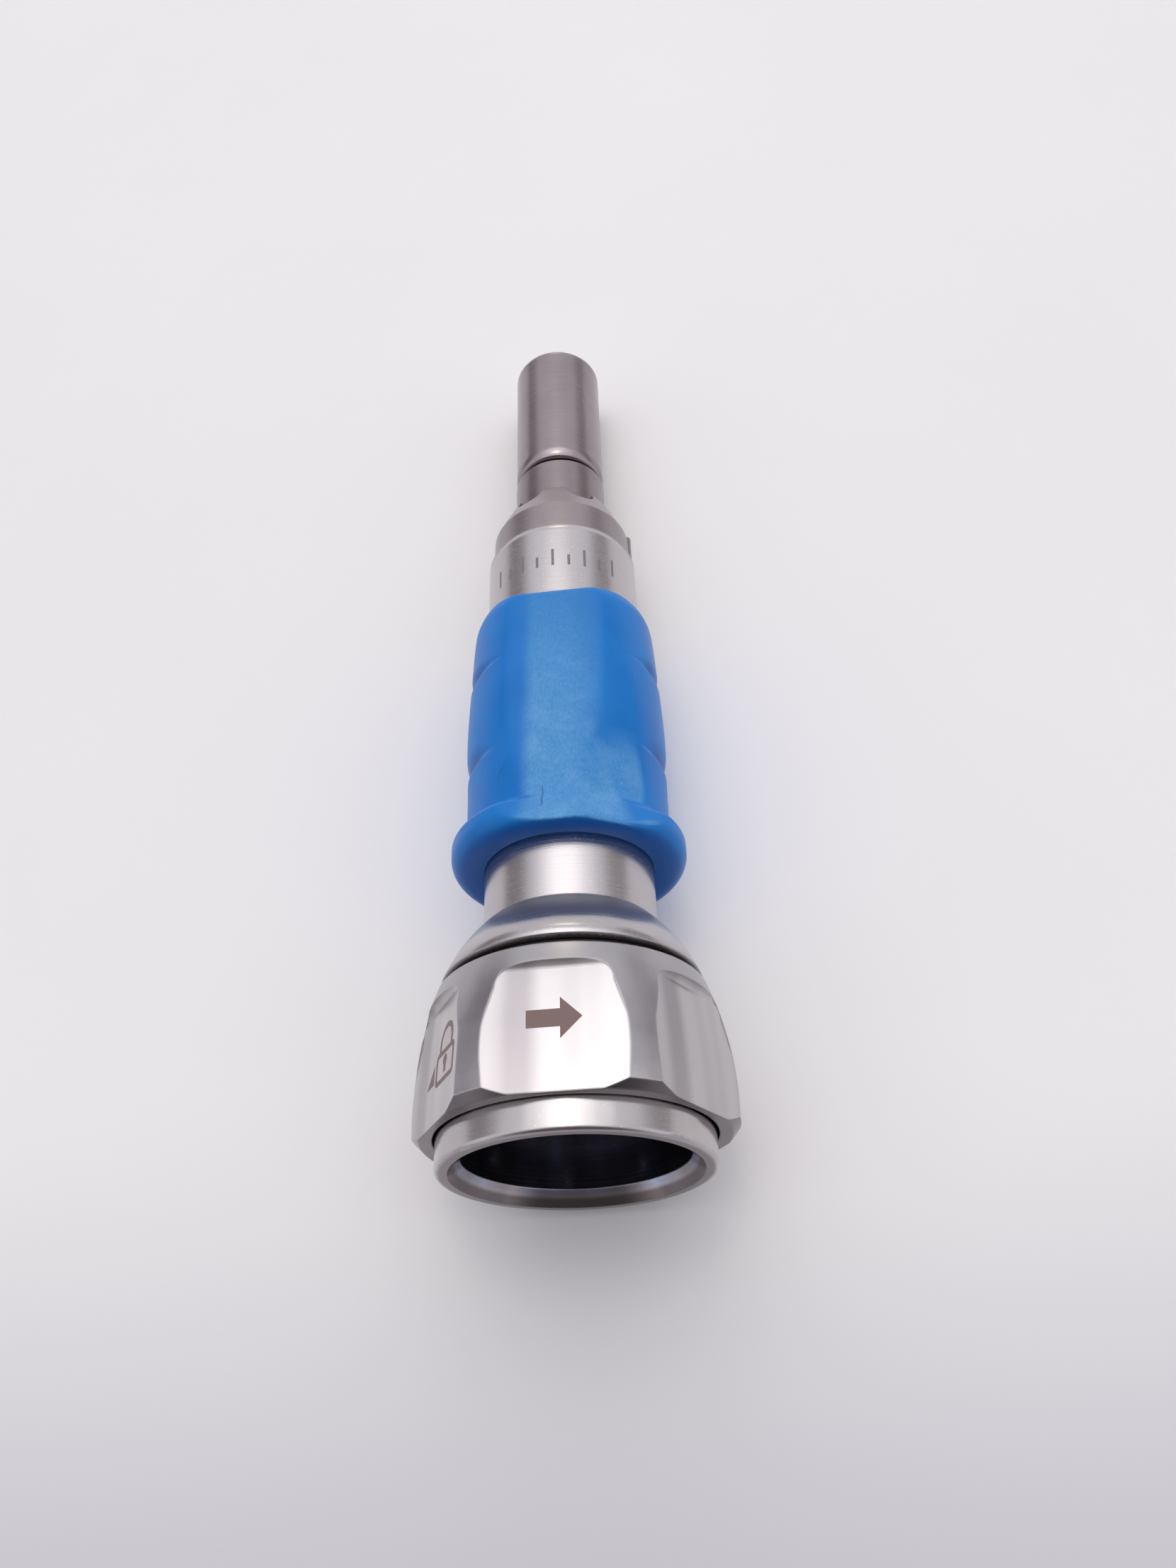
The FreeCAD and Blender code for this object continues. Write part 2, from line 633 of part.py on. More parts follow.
def shaft_seal():
    """Seal disc with a lip that leans towards the tip."""
    low, high = SEAL_Y
    return turned((low, 2.3), (low, SEAL_R), (high, SEAL_R), (high, 2.6), (low + 0.7, 2.3),
                  (high - 0.2, 1.5), (high - 0.5, 1.35), (low + 0.2, 1.9))


def gap_seal():
    """Black sealing ring between the locking ring and the shoulder."""
    return turned((RING_FRONT_Y + 0.07, THREAD_R), (RING_FRONT_Y + 0.07, 9.5),
                  (LIP_Y - 0.25, 9.68), (LIP_Y - 0.03, 9.5), (LIP_Y - 0.03, THREAD_R))


def slide_washer():
    """Thin washer that the locking ring turns on."""
    return sleeve(FLANGE_END_Y + 0.02, RING_SHOULDER_Y - 0.06, RUNNING_R, RING_COUNTERBORE_R - 0.08)


def bearing(y0, width, pitch_r, ball_r, balls, edges, bore_r, outer_r):
    """The four pieces of a ball bearing: outer race, inner race, balls and cage."""
    middle = y0 + width / 2
    groove = Part.makeTorus(pitch_r, ball_r + GROOVE_GAP, Vector(0, middle, 0), AXIS)
    outer = sleeve(y0, y0 + width, edges[1], outer_r).cut(groove)
    inner = sleeve(y0, y0 + width, bore_r, edges[0]).cut(groove)
    ball = Part.makeSphere(ball_r, Vector(0, middle, pitch_r))
    half = ball_r * 1.45
    play = (edges[1] - edges[0]) * 0.15
    cage = sleeve(middle - half, middle + half, edges[0] + play, edges[1] - play)
    pocket = radial_pin(ball_r + GROOVE_GAP, middle, 0.5, outer_r, 0)
    cage = cage.cut(round_about(pocket, balls))
    return outer, inner, Part.makeCompound(round_about(ball, balls)), cage


def preload_washer():
    """Curved spring washer between the spacer and the front bearing's outer race."""
    low = FRONT_BEARING_Y - 1.1
    bend_r = BEARING_BORE_R ** 2 / (2 * (1.1 - PRELOAD_THICKNESS)) + 1.0
    ring = sleeve(low, FRONT_BEARING_Y, 4.75, BEARING_BORE_R - 0.1)
    bend_y = FRONT_BEARING_Y - bend_r
    outer = Part.makeCylinder(bend_r, 20, Vector(-10, bend_y, 0), Vector(1, 0, 0))
    inner = Part.makeCylinder(bend_r - PRELOAD_THICKNESS, 20, Vector(-10, bend_y, 0), Vector(1, 0, 0))
    return ring.common(outer.cut(inner))


def spindle_shaft():
    """Hollow spindle: head for the chuck collar, spring flange, journal and the collet's seat."""
    rear, front = SPINDLE_Y
    flange_low, flange_high = SPRING_FLANGE_Y
    bore = COLLET_R + RUNNING_GAP
    seat = COLLET_HEAD_R + RUNNING_GAP
    cone_low = COLLET_CONE_Y[0] - CHUCK_TRAVEL
    cone_high = COLLET_CONE_Y[1] - CHUCK_TRAVEL
    shaft = turned(
        (rear, bore),
        (rear, SPINDLE_HEAD_R),
        (flange_low, SPINDLE_HEAD_R),
        (flange_low, SPRING_FLANGE_R),
        (flange_high, SPRING_FLANGE_R),
        (flange_high, RACE_EDGE_R[0] - 0.15),
        (REAR_BEARING_Y, RACE_EDGE_R[0] - 0.15),
        (REAR_BEARING_Y, JOURNAL_R),
        (front, JOURNAL_R),
        (front, seat),
        (cone_high, seat),
        (cone_low, bore))
    slot_r = CROSS_PIN_R + RUNNING_GAP
    slot = Part.makeBox(2 * slot_r, CHUCK_TRAVEL, 10, Vector(-slot_r, CROSS_PIN_Y - CHUCK_TRAVEL, -5))
    ends = [Part.makeCylinder(slot_r, 10, Vector(0, CROSS_PIN_Y - back, -5), Vector(0, 0, 1))
            for back in (0.0, CHUCK_TRAVEL)]
    return shaft.cut([slot] + ends + [coupling_pin()])


def collet():
    """Draw-in collet: long tail, head split into three fingers with a cone behind its front end."""
    rear, front = COLLET_Y
    cone_low, cone_high = COLLET_CONE_Y
    body = turned((rear, CUTTER_R), (rear, COLLET_R), (cone_low, COLLET_R), (cone_high, COLLET_HEAD_R),
                  (front, COLLET_HEAD_R), (front, CUTTER_R))
    slit = Part.makeBox(0.3, 12.0, 4.0, Vector(-0.15, front - 10.0, 0))
    return body.cut(round_about(slit, 3) + [chuck_cross_pin()])


def chuck_collar():
    """Collar that the release sleeve pushes."""
    low, high = COLLAR_Y
    collar = turned((low, SPINDLE_HEAD_R + RUNNING_GAP), (low, COLLAR_R - 0.2), (low + 0.2, COLLAR_R),
                    (high - 0.6, COLLAR_R), (high - 0.6, COLLAR_R - 0.4), (high, COLLAR_R - 0.4),
                    (high, SPINDLE_HEAD_R + RUNNING_GAP))
    return collar.cut(chuck_cross_pin())


def chuck_cross_pin():
    """Pin through the collar, the spindle's slot and the collet's tail."""
    half = COLLAR_R - 0.25
    return Part.makeCylinder(CROSS_PIN_R, 2 * half, Vector(0, CROSS_PIN_Y, -half), Vector(0, 0, 1))


def disc_springs():
    """Stack of conical disc springs, set face to face in turns, that closes the collet."""
    low, high = DISC_STACK_Y
    pitch = (high - low) / DISCS
    rise = pitch - DISC_THICKNESS - DISC_PLAY
    discs = []
    for index in range(DISCS):
        y = low + index * pitch
        inner = y + rise * (index % 2)
        outer = y + rise - rise * (index % 2)
        discs.append(turned((inner, DISC_INNER_R), (outer, DISC_OUTER_R),
                            (outer + DISC_THICKNESS, DISC_OUTER_R), (inner + DISC_THICKNESS, DISC_INNER_R)))
    return Part.makeCompound(discs)


def drive_coupling():
    """Fork at the spindle's rear end that the motor's shaft drives."""
    rear, front = DRIVE_Y
    body = turned((rear, DRIVE_BORE_R + 0.5), (rear, DRIVE_R - 0.4), (rear + 0.4, DRIVE_R), (front, DRIVE_R),
                  (front, SPINDLE_HEAD_R), (SPINDLE_Y[0], SPINDLE_HEAD_R), (SPINDLE_Y[0], DRIVE_BORE_R),
                  (rear + 0.5, DRIVE_BORE_R))
    width, slot_end = DRIVE_SLOT
    slot = Part.makeBox(width, slot_end - rear + 1.0, 10, Vector(-width / 2, rear - 1.0, -5))
    return body.cut([slot, coupling_pin()])


def coupling_pin():
    """Pin that holds the drive coupling on the spindle."""
    half = DRIVE_R - 0.05
    pin = Part.makeCylinder(CROSS_PIN_R, 2 * half, Vector(0, DRIVE_PIN_Y, -half), Vector(0, 0, 1))
    return turn(pin, 90)


def spindle_nut():
    """Round nut with two spanner flats."""
    low = FRONT_BEARING_Y + BEARING_WIDTH
    nut = sleeve(low, NUT_END_Y, JOURNAL_R, NUT_R)
    keep = Part.makeBox(NUT_FLATS, NUT_END_Y - low, 10, Vector(-NUT_FLATS / 2, low, -5))
    collar = sleeve(low, low + 0.5, JOURNAL_R, NUT_R)
    return nut.common(keep).fuse(collar).removeSplitter()


def sub_parts():
    """Every sub-part by name."""
    parts = {
        "coupling_socket": coupling_socket(),
        "locking_ring": locking_ring(),
        "slide_washer": slide_washer(),
        "gap_seal": gap_seal(),
        "main_housing": main_housing(),
        "grip_sleeve": grip_sleeve(),
        "index_crown": index_crown(),
        "index_pin": index_pin(),
        "nose_tube": nose_tube(),
        "nose_sleeve": nose_sleeve(),
        "nose_o_ring": nose_o_ring(),
        "nose_guide_bush": nose_guide_bush(),
        "shaft_seal": shaft_seal(),
        "tip_retaining_ring": tip_retaining_ring(),
        "release_sleeve": release_sleeve(),
        "cam_pins": cam_pins(),
        "drive_coupling": drive_coupling(),
        "coupling_pin": coupling_pin(),
        "spindle_shaft": spindle_shaft(),
        "spindle_nut": spindle_nut(),
        "collet": collet(),
        "chuck_collar": chuck_collar(),
        "chuck_cross_pin": chuck_cross_pin(),
        "disc_springs": disc_springs(),
        "bearing_spacer": sleeve(REAR_BEARING_Y + BEARING_WIDTH, FRONT_BEARING_Y - 1.1, 4.9, BEARING_BORE_R),
        "inner_spacer": sleeve(REAR_BEARING_Y + BEARING_WIDTH, FRONT_BEARING_Y, JOURNAL_R, 3.1),
        "preload_washer": preload_washer(),
    }
    for index in range(LOCK_BALLS):
        parts["lock_ball_%d" % (index + 1)] = lock_ball(index)
    pieces = ("outer_race", "inner_race", "balls", "cage")
    for name, y0 in (("rear_bearing", REAR_BEARING_Y), ("front_bearing", FRONT_BEARING_Y)):
        made = bearing(y0, BEARING_WIDTH, PITCH_R, BALL_R, BALLS, RACE_EDGE_R, JOURNAL_R, BEARING_BORE_R)
        for piece, shape in zip(pieces, made):
            parts["%s_%s" % (name, piece)] = shape
    made = bearing(TIP_BEARING_Y, TIP_BEARING_WIDTH, TIP_PITCH_R, TIP_BALL_R, TIP_BALLS,
                   TIP_RACE_EDGE_R, CUTTER_R, TIP_SEAT_R)
    for piece, shape in zip(pieces, made):
        parts["tip_bearing_%s" % piece] = shape
    return parts


def main():
    os.makedirs("parts", exist_ok=True)
    for name, shape in sub_parts().items():
        shape.translate(Vector(0, -STOP_Y, 0))
        shape.exportStep(os.path.join("parts", name + ".step"))
        print("%-26s solids %d valid %s volume %.2f mm3"
              % (name, len(shape.Solids), shape.isValid(), shape.Volume))


main()
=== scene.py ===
"""Looks of the surgical drill handpiece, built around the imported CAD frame.

The handpiece lies along Y with its nose at +Y and +Z up. Lengths are in metres; MM turns a length in
millimetres into metres. Stations are distances from the mouth of the socket, as in the part's source.
A pair of numbers is a point: its station, then its distance from the axis, both in millimetres.
Angles about the axis are in degrees, counted about +Y from +Z towards +X.
"""

import math

import bmesh
import bpy
from mathutils import Matrix, Vector

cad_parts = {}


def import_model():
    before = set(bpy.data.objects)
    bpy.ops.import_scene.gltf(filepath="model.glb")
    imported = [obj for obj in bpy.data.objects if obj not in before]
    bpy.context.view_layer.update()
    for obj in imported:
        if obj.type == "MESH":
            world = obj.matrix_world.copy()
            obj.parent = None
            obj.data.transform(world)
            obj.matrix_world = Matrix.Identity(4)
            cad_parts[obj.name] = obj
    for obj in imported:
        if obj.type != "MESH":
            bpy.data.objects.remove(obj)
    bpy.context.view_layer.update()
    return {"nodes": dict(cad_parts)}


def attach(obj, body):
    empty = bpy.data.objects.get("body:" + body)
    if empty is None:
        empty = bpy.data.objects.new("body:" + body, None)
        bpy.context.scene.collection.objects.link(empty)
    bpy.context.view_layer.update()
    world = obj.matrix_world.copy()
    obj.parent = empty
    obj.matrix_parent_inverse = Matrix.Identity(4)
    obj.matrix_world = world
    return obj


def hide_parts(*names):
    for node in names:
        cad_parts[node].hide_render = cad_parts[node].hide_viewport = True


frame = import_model()
NODES = frame["nodes"]

MM = 0.001
STOP = 9.2                           # station of the frame's origin, the socket's stop face

# Photograph's camera, in the handpiece's own frame before it is rolled about its axis; angles in radians
PHOTO_SIZE = (1659, 2212)            # pixels
FOCAL_PX = 1760.5
CAMERA_AT = Vector((0.0, -33.90, 88.16)) * MM
CAMERA_PITCH = 0.99478
CAMERA_YAW = 0.01649
CAMERA_ROLL = -0.02444
PART_ROLL = math.radians(6.9)
SENSOR = 36.0                        # height of the camera's sensor, mm
CLIP_START = 0.001                   # m

# Table that the handpiece lies on; it touches the ring's front edge and the tip of the nose, each given by
# its station and its height
TOUCH_RING = (11.8, -10.87)
TOUCH_TIP = (82.9, -4.27)
TABLE_GAP = 0.02                     # keeps the lowest points just above the table, mm
TABLE_RADIUS = 1.6                   # m
# painted shade: the table darkens towards the camera over this range, to a darker tint
TABLE_SHADE = (0.005, -0.045)        # where the table darkens towards the camera, m along Y
TABLE_TINTS = ((0.91, 0.905, 0.92), (0.96, 0.955, 0.97))
TABLE_PAINTED_SHADE_TINT = (0.62, 0.615, 0.68)

# Locking ring: its barrel and its milled panels
RING_MAX = (4.2, 11.78)
RING_FRONT = (13.08, 10.24)
RING_POWER = 2.2                     # how the barrel curves between the two points
PANEL_FLOOR = ((1.3, 10.71), (7.0, 10.57), (11.1, 10.22))
PANEL_STEP = 60.0                    # degrees from one panel to the next
PANEL_COVE = (11.0, 11.15)           # stations of the step at a panel's front end
PANEL_EDGE = (0.005, 0.05)           # depth below the barrel that counts as a panel
# painted reflection: the panels' dark stripe, at this angle
PANEL_STRIPE = -13.5                 # dark stripe down each panel, degrees from its middle
# painted shade on the rear chamfer, at these stations
RING_CHAMFER = (3.1, 3.0)            # stations where the dark rear chamfer ends

# Socket: where the tone of its bore and the dark tone of its mouth fade in
SOCKET_BORE = (8.7, 8.35)            # distances from the axis
MOUTH_FACE = (0.85, 0.45)            # stations
MOUTH_FACE_R = (9.85, 9.55)          # distances from the axis

# Hollow between the shoulder and the neck, with a painted blue-grey reflection of the grip: stations where it
# starts and ends
HOLLOW_REAR = (15.6, 16.6)
HOLLOW_FRONT = (18.75, 18.55)
HOLLOW_R = (6.82, 6.95)              # distances from the axis over which it starts

# Softened edges, as turned_steel describes them; the lip's rounding is also darkened as painted shade
HOUSING_ROUNDINGS = ((13.6, 1.25, 0.46, 0.55), (18.2, -3.4, 0.45, 1.0), (56.1, -0.6, 0.12, 1.0))
NOSE_ROUNDINGS = ((67.4, 1.7, 0.58, 1.0),)

# Steels: share of the turning lines that is broken, and colours as linear red, green and blue
BROKEN_LINES = 0.3
HOUSING_TINT = (0.55, 0.525, 0.54)
# colour of the painted blue-grey reflection in the hollow
HOLLOW_REFLECTION_TINT = (0.27, 0.31, 0.42)
BAND_TINT = (0.55, 0.525, 0.53)
MOUTH_TINT = (0.21, 0.18, 0.185)
BORE_TINTS = ((0.36, 0.32, 0.34), (0.42, 0.48, 0.60))
LAND_TINTS = ((0.42, 0.405, 0.43), (0.47, 0.455, 0.48))
PANEL_TINTS = ((0.49, 0.47, 0.485), (0.56, 0.54, 0.55))
# colour of the painted dark reflection stripe
STRIPE_REFLECTION_TINT = (0.35, 0.33, 0.345)
# colour of the painted shade on the rear chamfer
CHAMFER_SHADE_TINT = (0.23, 0.205, 0.215)

# Blue grip
GRIP_REAR = 23.75
GRIP_FRONT = 49.0
SEAT_R = 6.8
SEAT_GROOVE = ((25.5, 6.36), (47.0, 6.36))
FLANGE_R = 9.5
FLANGE_EDGE_R = 1.35
FLANGE_CREST_END = 25.75
FLANGE_FRONT_R = 0.45
FLANGE_ROOT_R = 0.75
GRIP_BODY = ((26.95, 8.30), (31.0, 8.32), (36.5, 8.45), (43.0, 8.19), (46.8, 7.98), (47.9, 7.78),
             (48.6, 7.46), (49.0, 6.95))
FLAT_LINE = ((24.0, 8.88), (27.4, 7.88), (50.0, 6.86))
FLAT_CREASE = 0.28                   # width over which a flat blends into the round
SCOOP_ANGLE = 29.5
SCOOP_LINE = ((24.0, 8.85), (27.1, 7.68), (50.0, 8.96))
SCOOP_CREASE = 0.60
LINE_CORNER = 0.35                   # rounding of the corner in each of the two lines
FACE_REACH = 0.5                     # least cosine from a flat's or scoop's middle at which it cuts
RELIEF = ((47.52, 9.0), (49.23, 3.0))
RELIEF_CREASE = 0.35
RELIEF_REACH = 0.3                   # least cosine from the relief's middle at which it cuts
RELIEF_LEAD = 1.5                    # how far behind its first point the relief starts
NOTCHES = ((32.4, 8.37), (41.4, 8.25))
NOTCH_ANGLE = 97.5
NOTCH_DEPTH = 0.45
NOTCH_SHIFT = 1.6                    # how far a notch's axis lies beyond the handpiece's
NOTCH_STEEP = 0.4                    # length of a notch's steep slope
NOTCH_GENTLE = 1.7                   # length of its gentle slope
NOTCH_BOTTOM = 0.22                  # rounding between the two slopes
NOTCH_CREASE = 0.10
NOTCH_REACH = 4.5                    # farthest station from a notch's deepest line at which it cuts
NOTCH_SIDE = 0.2                     # least cosine from its middle at which it cuts
COLUMNS = 300                        # points round the grip
SEAT_OVERLAP = 0.02                  # how far the grip's ends reach into its seat
INNER_OVERLAP = 0.03                 # how far its inside does

# Painted highlights and marks on the grip; each pair of angles is where a pale painted highlight fades in, on
# its left and on its right
HIGHLIGHT_SKY = (90.0, 86.0)              # azimuth and elevation that the pale flat faces
FLAT_ANGLES = ((-22.0, -12.0), (40.0, 5.0))
CREST_ANGLES = ((-17.0, -5.0), (44.0, 34.0))
FLANGE_CREST = (29.4, 28.6)          # stations where the pale crest beside the flange fades in
# A thin line is its first and last station, its angle, its lean in degrees per millimetre, its width and
# its wiggle
CRACK = (25.2, 27.9, -7.0, 0.1, 0.45, 2.2)
SCRATCH = (28.9, 30.6, -34.5, 4.5, 0.7, 8.0)

# Signs on the ring and the collar
PADLOCK_AT = (2.35, 4.77)
TRIANGLE = ((-1.5, 5.2), (0.1, 5.2), (0.1, 6.6))
ARROW_AT = (0.0, 7.4)
ARROW_HALF_LENGTH = 1.9
ARROW_HEAD_START = 0.4
ARROW_HEAD_HALF = 1.5
ARROW_SHAFT_HALF = 0.65
MARK_RISE = 0.006                    # height above the surface
MARK_ROOT = 0.05                     # depth below it
COLLAR_R = 6.8
TICK_START = 51.2
TICK_STEP = 12.0                     # degrees
TICK_HALF_WIDTH = 0.12
LONG_TICK = 1.9
SHORT_TICK = 1.2

# Room and lamp; a zone is its azimuth and elevation, its outer and inner reach in degrees, its light and
# how fully the light covers the room's
ROOM = (0.84, 0.83, 0.86)
ROOM_SEEN = (0.80, 0.80, 0.84)       # what the camera sees past the table
ZONES = (((0.0, 66.0), 27.0, 8.0, (1.55, 1.5, 1.5), 1.0),
         ((0.0, 22.0), 9.0, 4.0, (2.2, 2.0, 1.7), 1.0),
         ((0.0, 78.0), 8.0, 3.5, (5.5, 4.9, 4.2), 1.0),
         ((55.0, 8.0), 28.0, 12.0, (0.27, 0.24, 0.25), 0.85),
         ((-55.0, 11.0), 28.0, 12.0, (0.21, 0.18, 0.20), 0.9),
         ((180.0, 26.0), 58.0, 26.0, (0.11, 0.09, 0.10), 0.95))
LAMP_AIM = 30.0                      # station that the lamp points at
LAMP_SKY = (5.0, 76.0)
LAMP_DISTANCE = 0.6
LAMP_SIZE = (0.80, 0.60)
LAMP_POWER = 0.62


def along(station):
    """Place on the Y axis, in metres, of a station in millimetres."""
    return (station - STOP) * MM


def srgb(red, green, blue):
    """Linear colour of an 8-bit screen colour."""
    return tuple((v / 255 / 12.92) if v <= 10 else ((v / 255 + 0.055) / 1.055) ** 2.4
                 for v in (red, green, blue))


def sky_direction(azimuth, elevation):
    """Unit vector; azimuth 0 is over the nose, and both angles are in degrees."""
    a, e = math.radians(azimuth), math.radians(elevation)
    return Vector((math.sin(a) * math.cos(e), math.cos(a) * math.cos(e), math.sin(e)))


class Nodes:
    """Short way to build a node tree."""

    def __init__(self, tree):
        self.tree = tree
        self.tree.nodes.clear()

    def add(self, kind, **settings):
        node = self.tree.nodes.new("ShaderNode" + kind)
        for name, value in settings.items():
            setattr(node, name, value)
        return node

    def put(self, value, socket):
        """Links a socket, or sets a plain value."""
        if isinstance(value, bpy.types.NodeSocket):
            self.tree.links.new(value, socket)
        else:
            socket.default_value = value

    def math(self, operation, a, b=0.0, clamp=False):
        node = self.add("Math", operation=operation, use_clamp=clamp)
        self.put(a, node.inputs[0])
        self.put(b, node.inputs[1])
        return node.outputs[0]

    def add_up(self, *values):
        total = values[0]
        for value in values[1:]:
            total = self.math("ADD", total, value)
        return total

    def times(self, a, b):
        return self.math("MULTIPLY", a, b)

    def vector(self, x, y, z):
        node = self.add("CombineXYZ")
        for value, socket in zip((x, y, z), node.inputs):
            self.put(value, socket)
        return node.outputs[0]

    def dot(self, vector, constant):
        node = self.add("VectorMath", operation="DOT_PRODUCT")
        self.put(vector, node.inputs[0])
        node.inputs[1].default_value = constant
        return node.outputs["Value"]

    def ramp(self, value, low, high, out_low=0.0, out_high=1.0):
        """Maps a value smoothly from one range to another, held at both ends."""
        node = self.add("MapRange", interpolation_type="SMOOTHSTEP", clamp=True)
        for number, socket in zip((value, low, high, out_low, out_high), node.inputs):
            self.put(number, socket)
        return node.outputs[0]

    def mix(self, factor, a, b):
        """Mixes two colours."""
        node = self.add("Mix", data_type="RGBA")
        self.put(factor, node.inputs["Factor"])
        for value, name in ((a, "A"), (b, "B")):
            socket = [s for s in node.inputs if s.name == name and s.type == "RGBA"][0]
            self.put(value if isinstance(value, bpy.types.NodeSocket) else (*value[:3], 1.0), socket)
        return [s for s in node.outputs if s.type == "RGBA"][0]


class Shader(Nodes):
    """Node material with one Principled shader."""

    def __init__(self, name):
        self.material = bpy.data.materials.new(name)
        self.material.use_nodes = True
        super().__init__(self.material.node_tree)
        output = self.add("OutputMaterial")
        self.surface = self.add("BsdfPrincipled")
        self.put(self.surface.outputs[0], output.inputs["Surface"])
        coordinates = self.add("TexCoord")
        self.place = coordinates.outputs["Object"]
        self.facing = coordinates.outputs["Normal"]
        split = self.add("SeparateXYZ")
        self.put(self.place, split.inputs[0])
        self.x, self.y, self.z = split.outputs

    def station(self):
        """Distance from the mouth, in millimetres."""
        return self.math("DIVIDE", self.add_up(self.y, STOP * MM), MM)

    def radius(self):
        """Distance from the handpiece's axis."""
        return self.math("SQRT", self.add_up(self.times(self.x, self.x), self.times(self.z, self.z)))

    def angle(self):
        """Angle about the axis, in radians."""
        return self.math("ARCTAN2", self.x, self.z)

    def noise(self, scale, detail=2.0, rough=0.5, at=None):
        """Noise about 0.5; scale is per metre."""
        node = self.add("TexNoise")
        self.put(at or self.place, node.inputs["Vector"])
        node.inputs["Scale"].default_value = scale
        node.inputs["Detail"].default_value = detail
        node.inputs["Roughness"].default_value = rough
        return node.outputs[0]

    def bump(self, height, depth, normal=None):
        node = self.add("Bump")
        node.inputs["Distance"].default_value = depth * MM
        self.put(height, node.inputs["Height"])
        if normal is not None:
            self.put(normal, node.inputs["Normal"])
        return node.outputs[0]

    def soft_edges(self, radius):
        """Normal that rounds the edges off."""
        node = self.add("Bevel", samples=4)
        node.inputs["Radius"].default_value = radius * MM
        return node.outputs[0]

    def set(self, **values):
        """Sets or links the Principled shader's sockets; an underscore in a name stands for a space."""
        for name, value in values.items():
            if isinstance(value, (tuple, list)) and len(value) == 3:
                value = (*value, 1.0)
            self.put(value, self.surface.inputs[name.replace("_", " ")])

    def radial_tangent(self):
        """Tangent round the handpiece's axis, for turned surfaces."""
        node = self.add("Tangent", direction_type="RADIAL", axis="Y")
        self.put(node.outputs[0], self.surface.inputs["Tangent"])


# Steels

def turning_lines(shader, per_mm):
    """Fine lines round the axis, as a lathe tool leaves them; about 0.5 on average."""
    rings = shader.noise(1.0, 3.0, 0.65, at=shader.vector(0.0, shader.times(shader.y, per_mm / MM), 0.0))
    drift = shader.vector(shader.times(shader.x, 300.0), shader.times(shader.y, per_mm / MM * 1.7),
                          shader.times(shader.z, 300.0))
    parts = shader.noise(1.0, 2.0, 0.6, at=drift)
    return shader.add_up(shader.times(rings, 1.0 - BROKEN_LINES), shader.times(parts, BROKEN_LINES))


def specks(shader, scale, share):
    """Mask of tiny bright specks."""
    grains = shader.noise(scale, 0.0, 0.5)
    return shader.ramp(grains, 1.0 - share, 1.0 - share + 0.03)


def turned_steel(name, colour, roughness, per_mm=6.0, depth=0.0016, spread=0.05, anisotropy=0.45, speck=0.24,
                 roundings=()):
    """Stainless steel finished on a lathe.

    per_mm is how closely the turning lines lie, depth is their height in millimetres, and speck is the
    share of specks, painted as bright glints. A rounding is an edge's station, its signed width and its
    depth, in millimetres, and the share of the steel's tone that is left on it as painted shade.
    """
    shader = Shader(name)
    lines = turning_lines(shader, per_mm)
    cloud = shader.noise(230.0, 3.0, 0.55)
    speck_mask = specks(shader, 5200.0, speck)
    wear_and_painted_light = shader.mix(shader.ramp(cloud, 0.35, 0.7), colour, tuple(c * 0.9 for c in colour))
    normal = shader.soft_edges(0.12)
    for edge, width, fall, tone in roundings:
        before = shader.math("SUBTRACT", edge + width, shader.station())
        reach = shader.math("DIVIDE", before, width, clamp=True)
        normal = shader.bump(shader.math("MULTIPLY", shader.times(reach, reach), -1.0), fall, normal)
        # painted shade: each rounding's edge darkens to its share of the steel's tone
        wear_and_painted_light = shader.mix(shader.ramp(reach, 0.62, 0.85), wear_and_painted_light, tuple(c * tone for c in colour))
    # painted glints: the specks lighten the base colour
    light = tuple(min(1.0, c * 1.25) for c in colour)
    shader.set(Base_Color=shader.mix(shader.times(speck_mask, 0.35), wear_and_painted_light, light),
               Metallic=1.0,
               Roughness=shader.ramp(lines, 0.3, 0.7, roughness - spread, roughness + spread),
               Anisotropic=anisotropy,
               Normal=shader.bump(shader.add_up(lines, shader.times(speck_mask, 0.4)), depth, normal))
    shader.radial_tangent()
    return shader


def socket_steel():
    """Steel of the socket: polished band, darker mouth, smooth and dark inside the bore."""
    shader = turned_steel("socket_steel", BAND_TINT, 0.18, anisotropy=0.35)
    satin = shader.surface.inputs["Base Color"].links[0].from_socket
    radius = shader.radius()
    inside = shader.ramp(radius, *(r * MM for r in SOCKET_BORE))
    face = shader.times(shader.ramp(shader.station(), *MOUTH_FACE),
                        shader.ramp(radius, *(r * MM for r in MOUTH_FACE_R)))
    streaks = shader.noise(1.0, 2.0, 0.5, at=shader.vector(
        shader.times(shader.angle(), 2.3), shader.times(shader.y, 20.0), 0.0))
    bore = shader.mix(shader.ramp(streaks, 0.3, 0.7), *BORE_TINTS)
    mouth = shader.mix(face, satin, MOUTH_TINT)
    shader.set(Base_Color=shader.mix(inside, mouth, bore))
    return shader.material


def housing_steel():
    """Steel of the housing, with a painted blue-grey reflection of the grip on the hollow between the
    shoulder and the neck.
    """
    shader = turned_steel("housing_satin_steel", HOUSING_TINT, 0.24, depth=0.0062, anisotropy=0.4, speck=0.28,
                          roundings=HOUSING_ROUNDINGS)
    satin = shader.surface.inputs["Base Color"].links[0].from_socket
    station = shader.station()
    hollow = shader.times(shader.ramp(station, *HOLLOW_REAR), shader.ramp(station, *HOLLOW_FRONT))
    # painted reflection: the grip's blue-grey painted into the hollow, which is also made rougher
    painted_reflection_mask = shader.times(hollow, shader.ramp(shader.radius(), *(r * MM for r in HOLLOW_R), 0.0, 0.75))
    rough = shader.surface.inputs["Roughness"].links[0].from_socket
    shader.set(Base_Color=shader.mix(painted_reflection_mask, satin, HOLLOW_REFLECTION_TINT),
               Roughness=shader.add_up(rough, shader.times(painted_reflection_mask, 0.22)))
    return shader.material


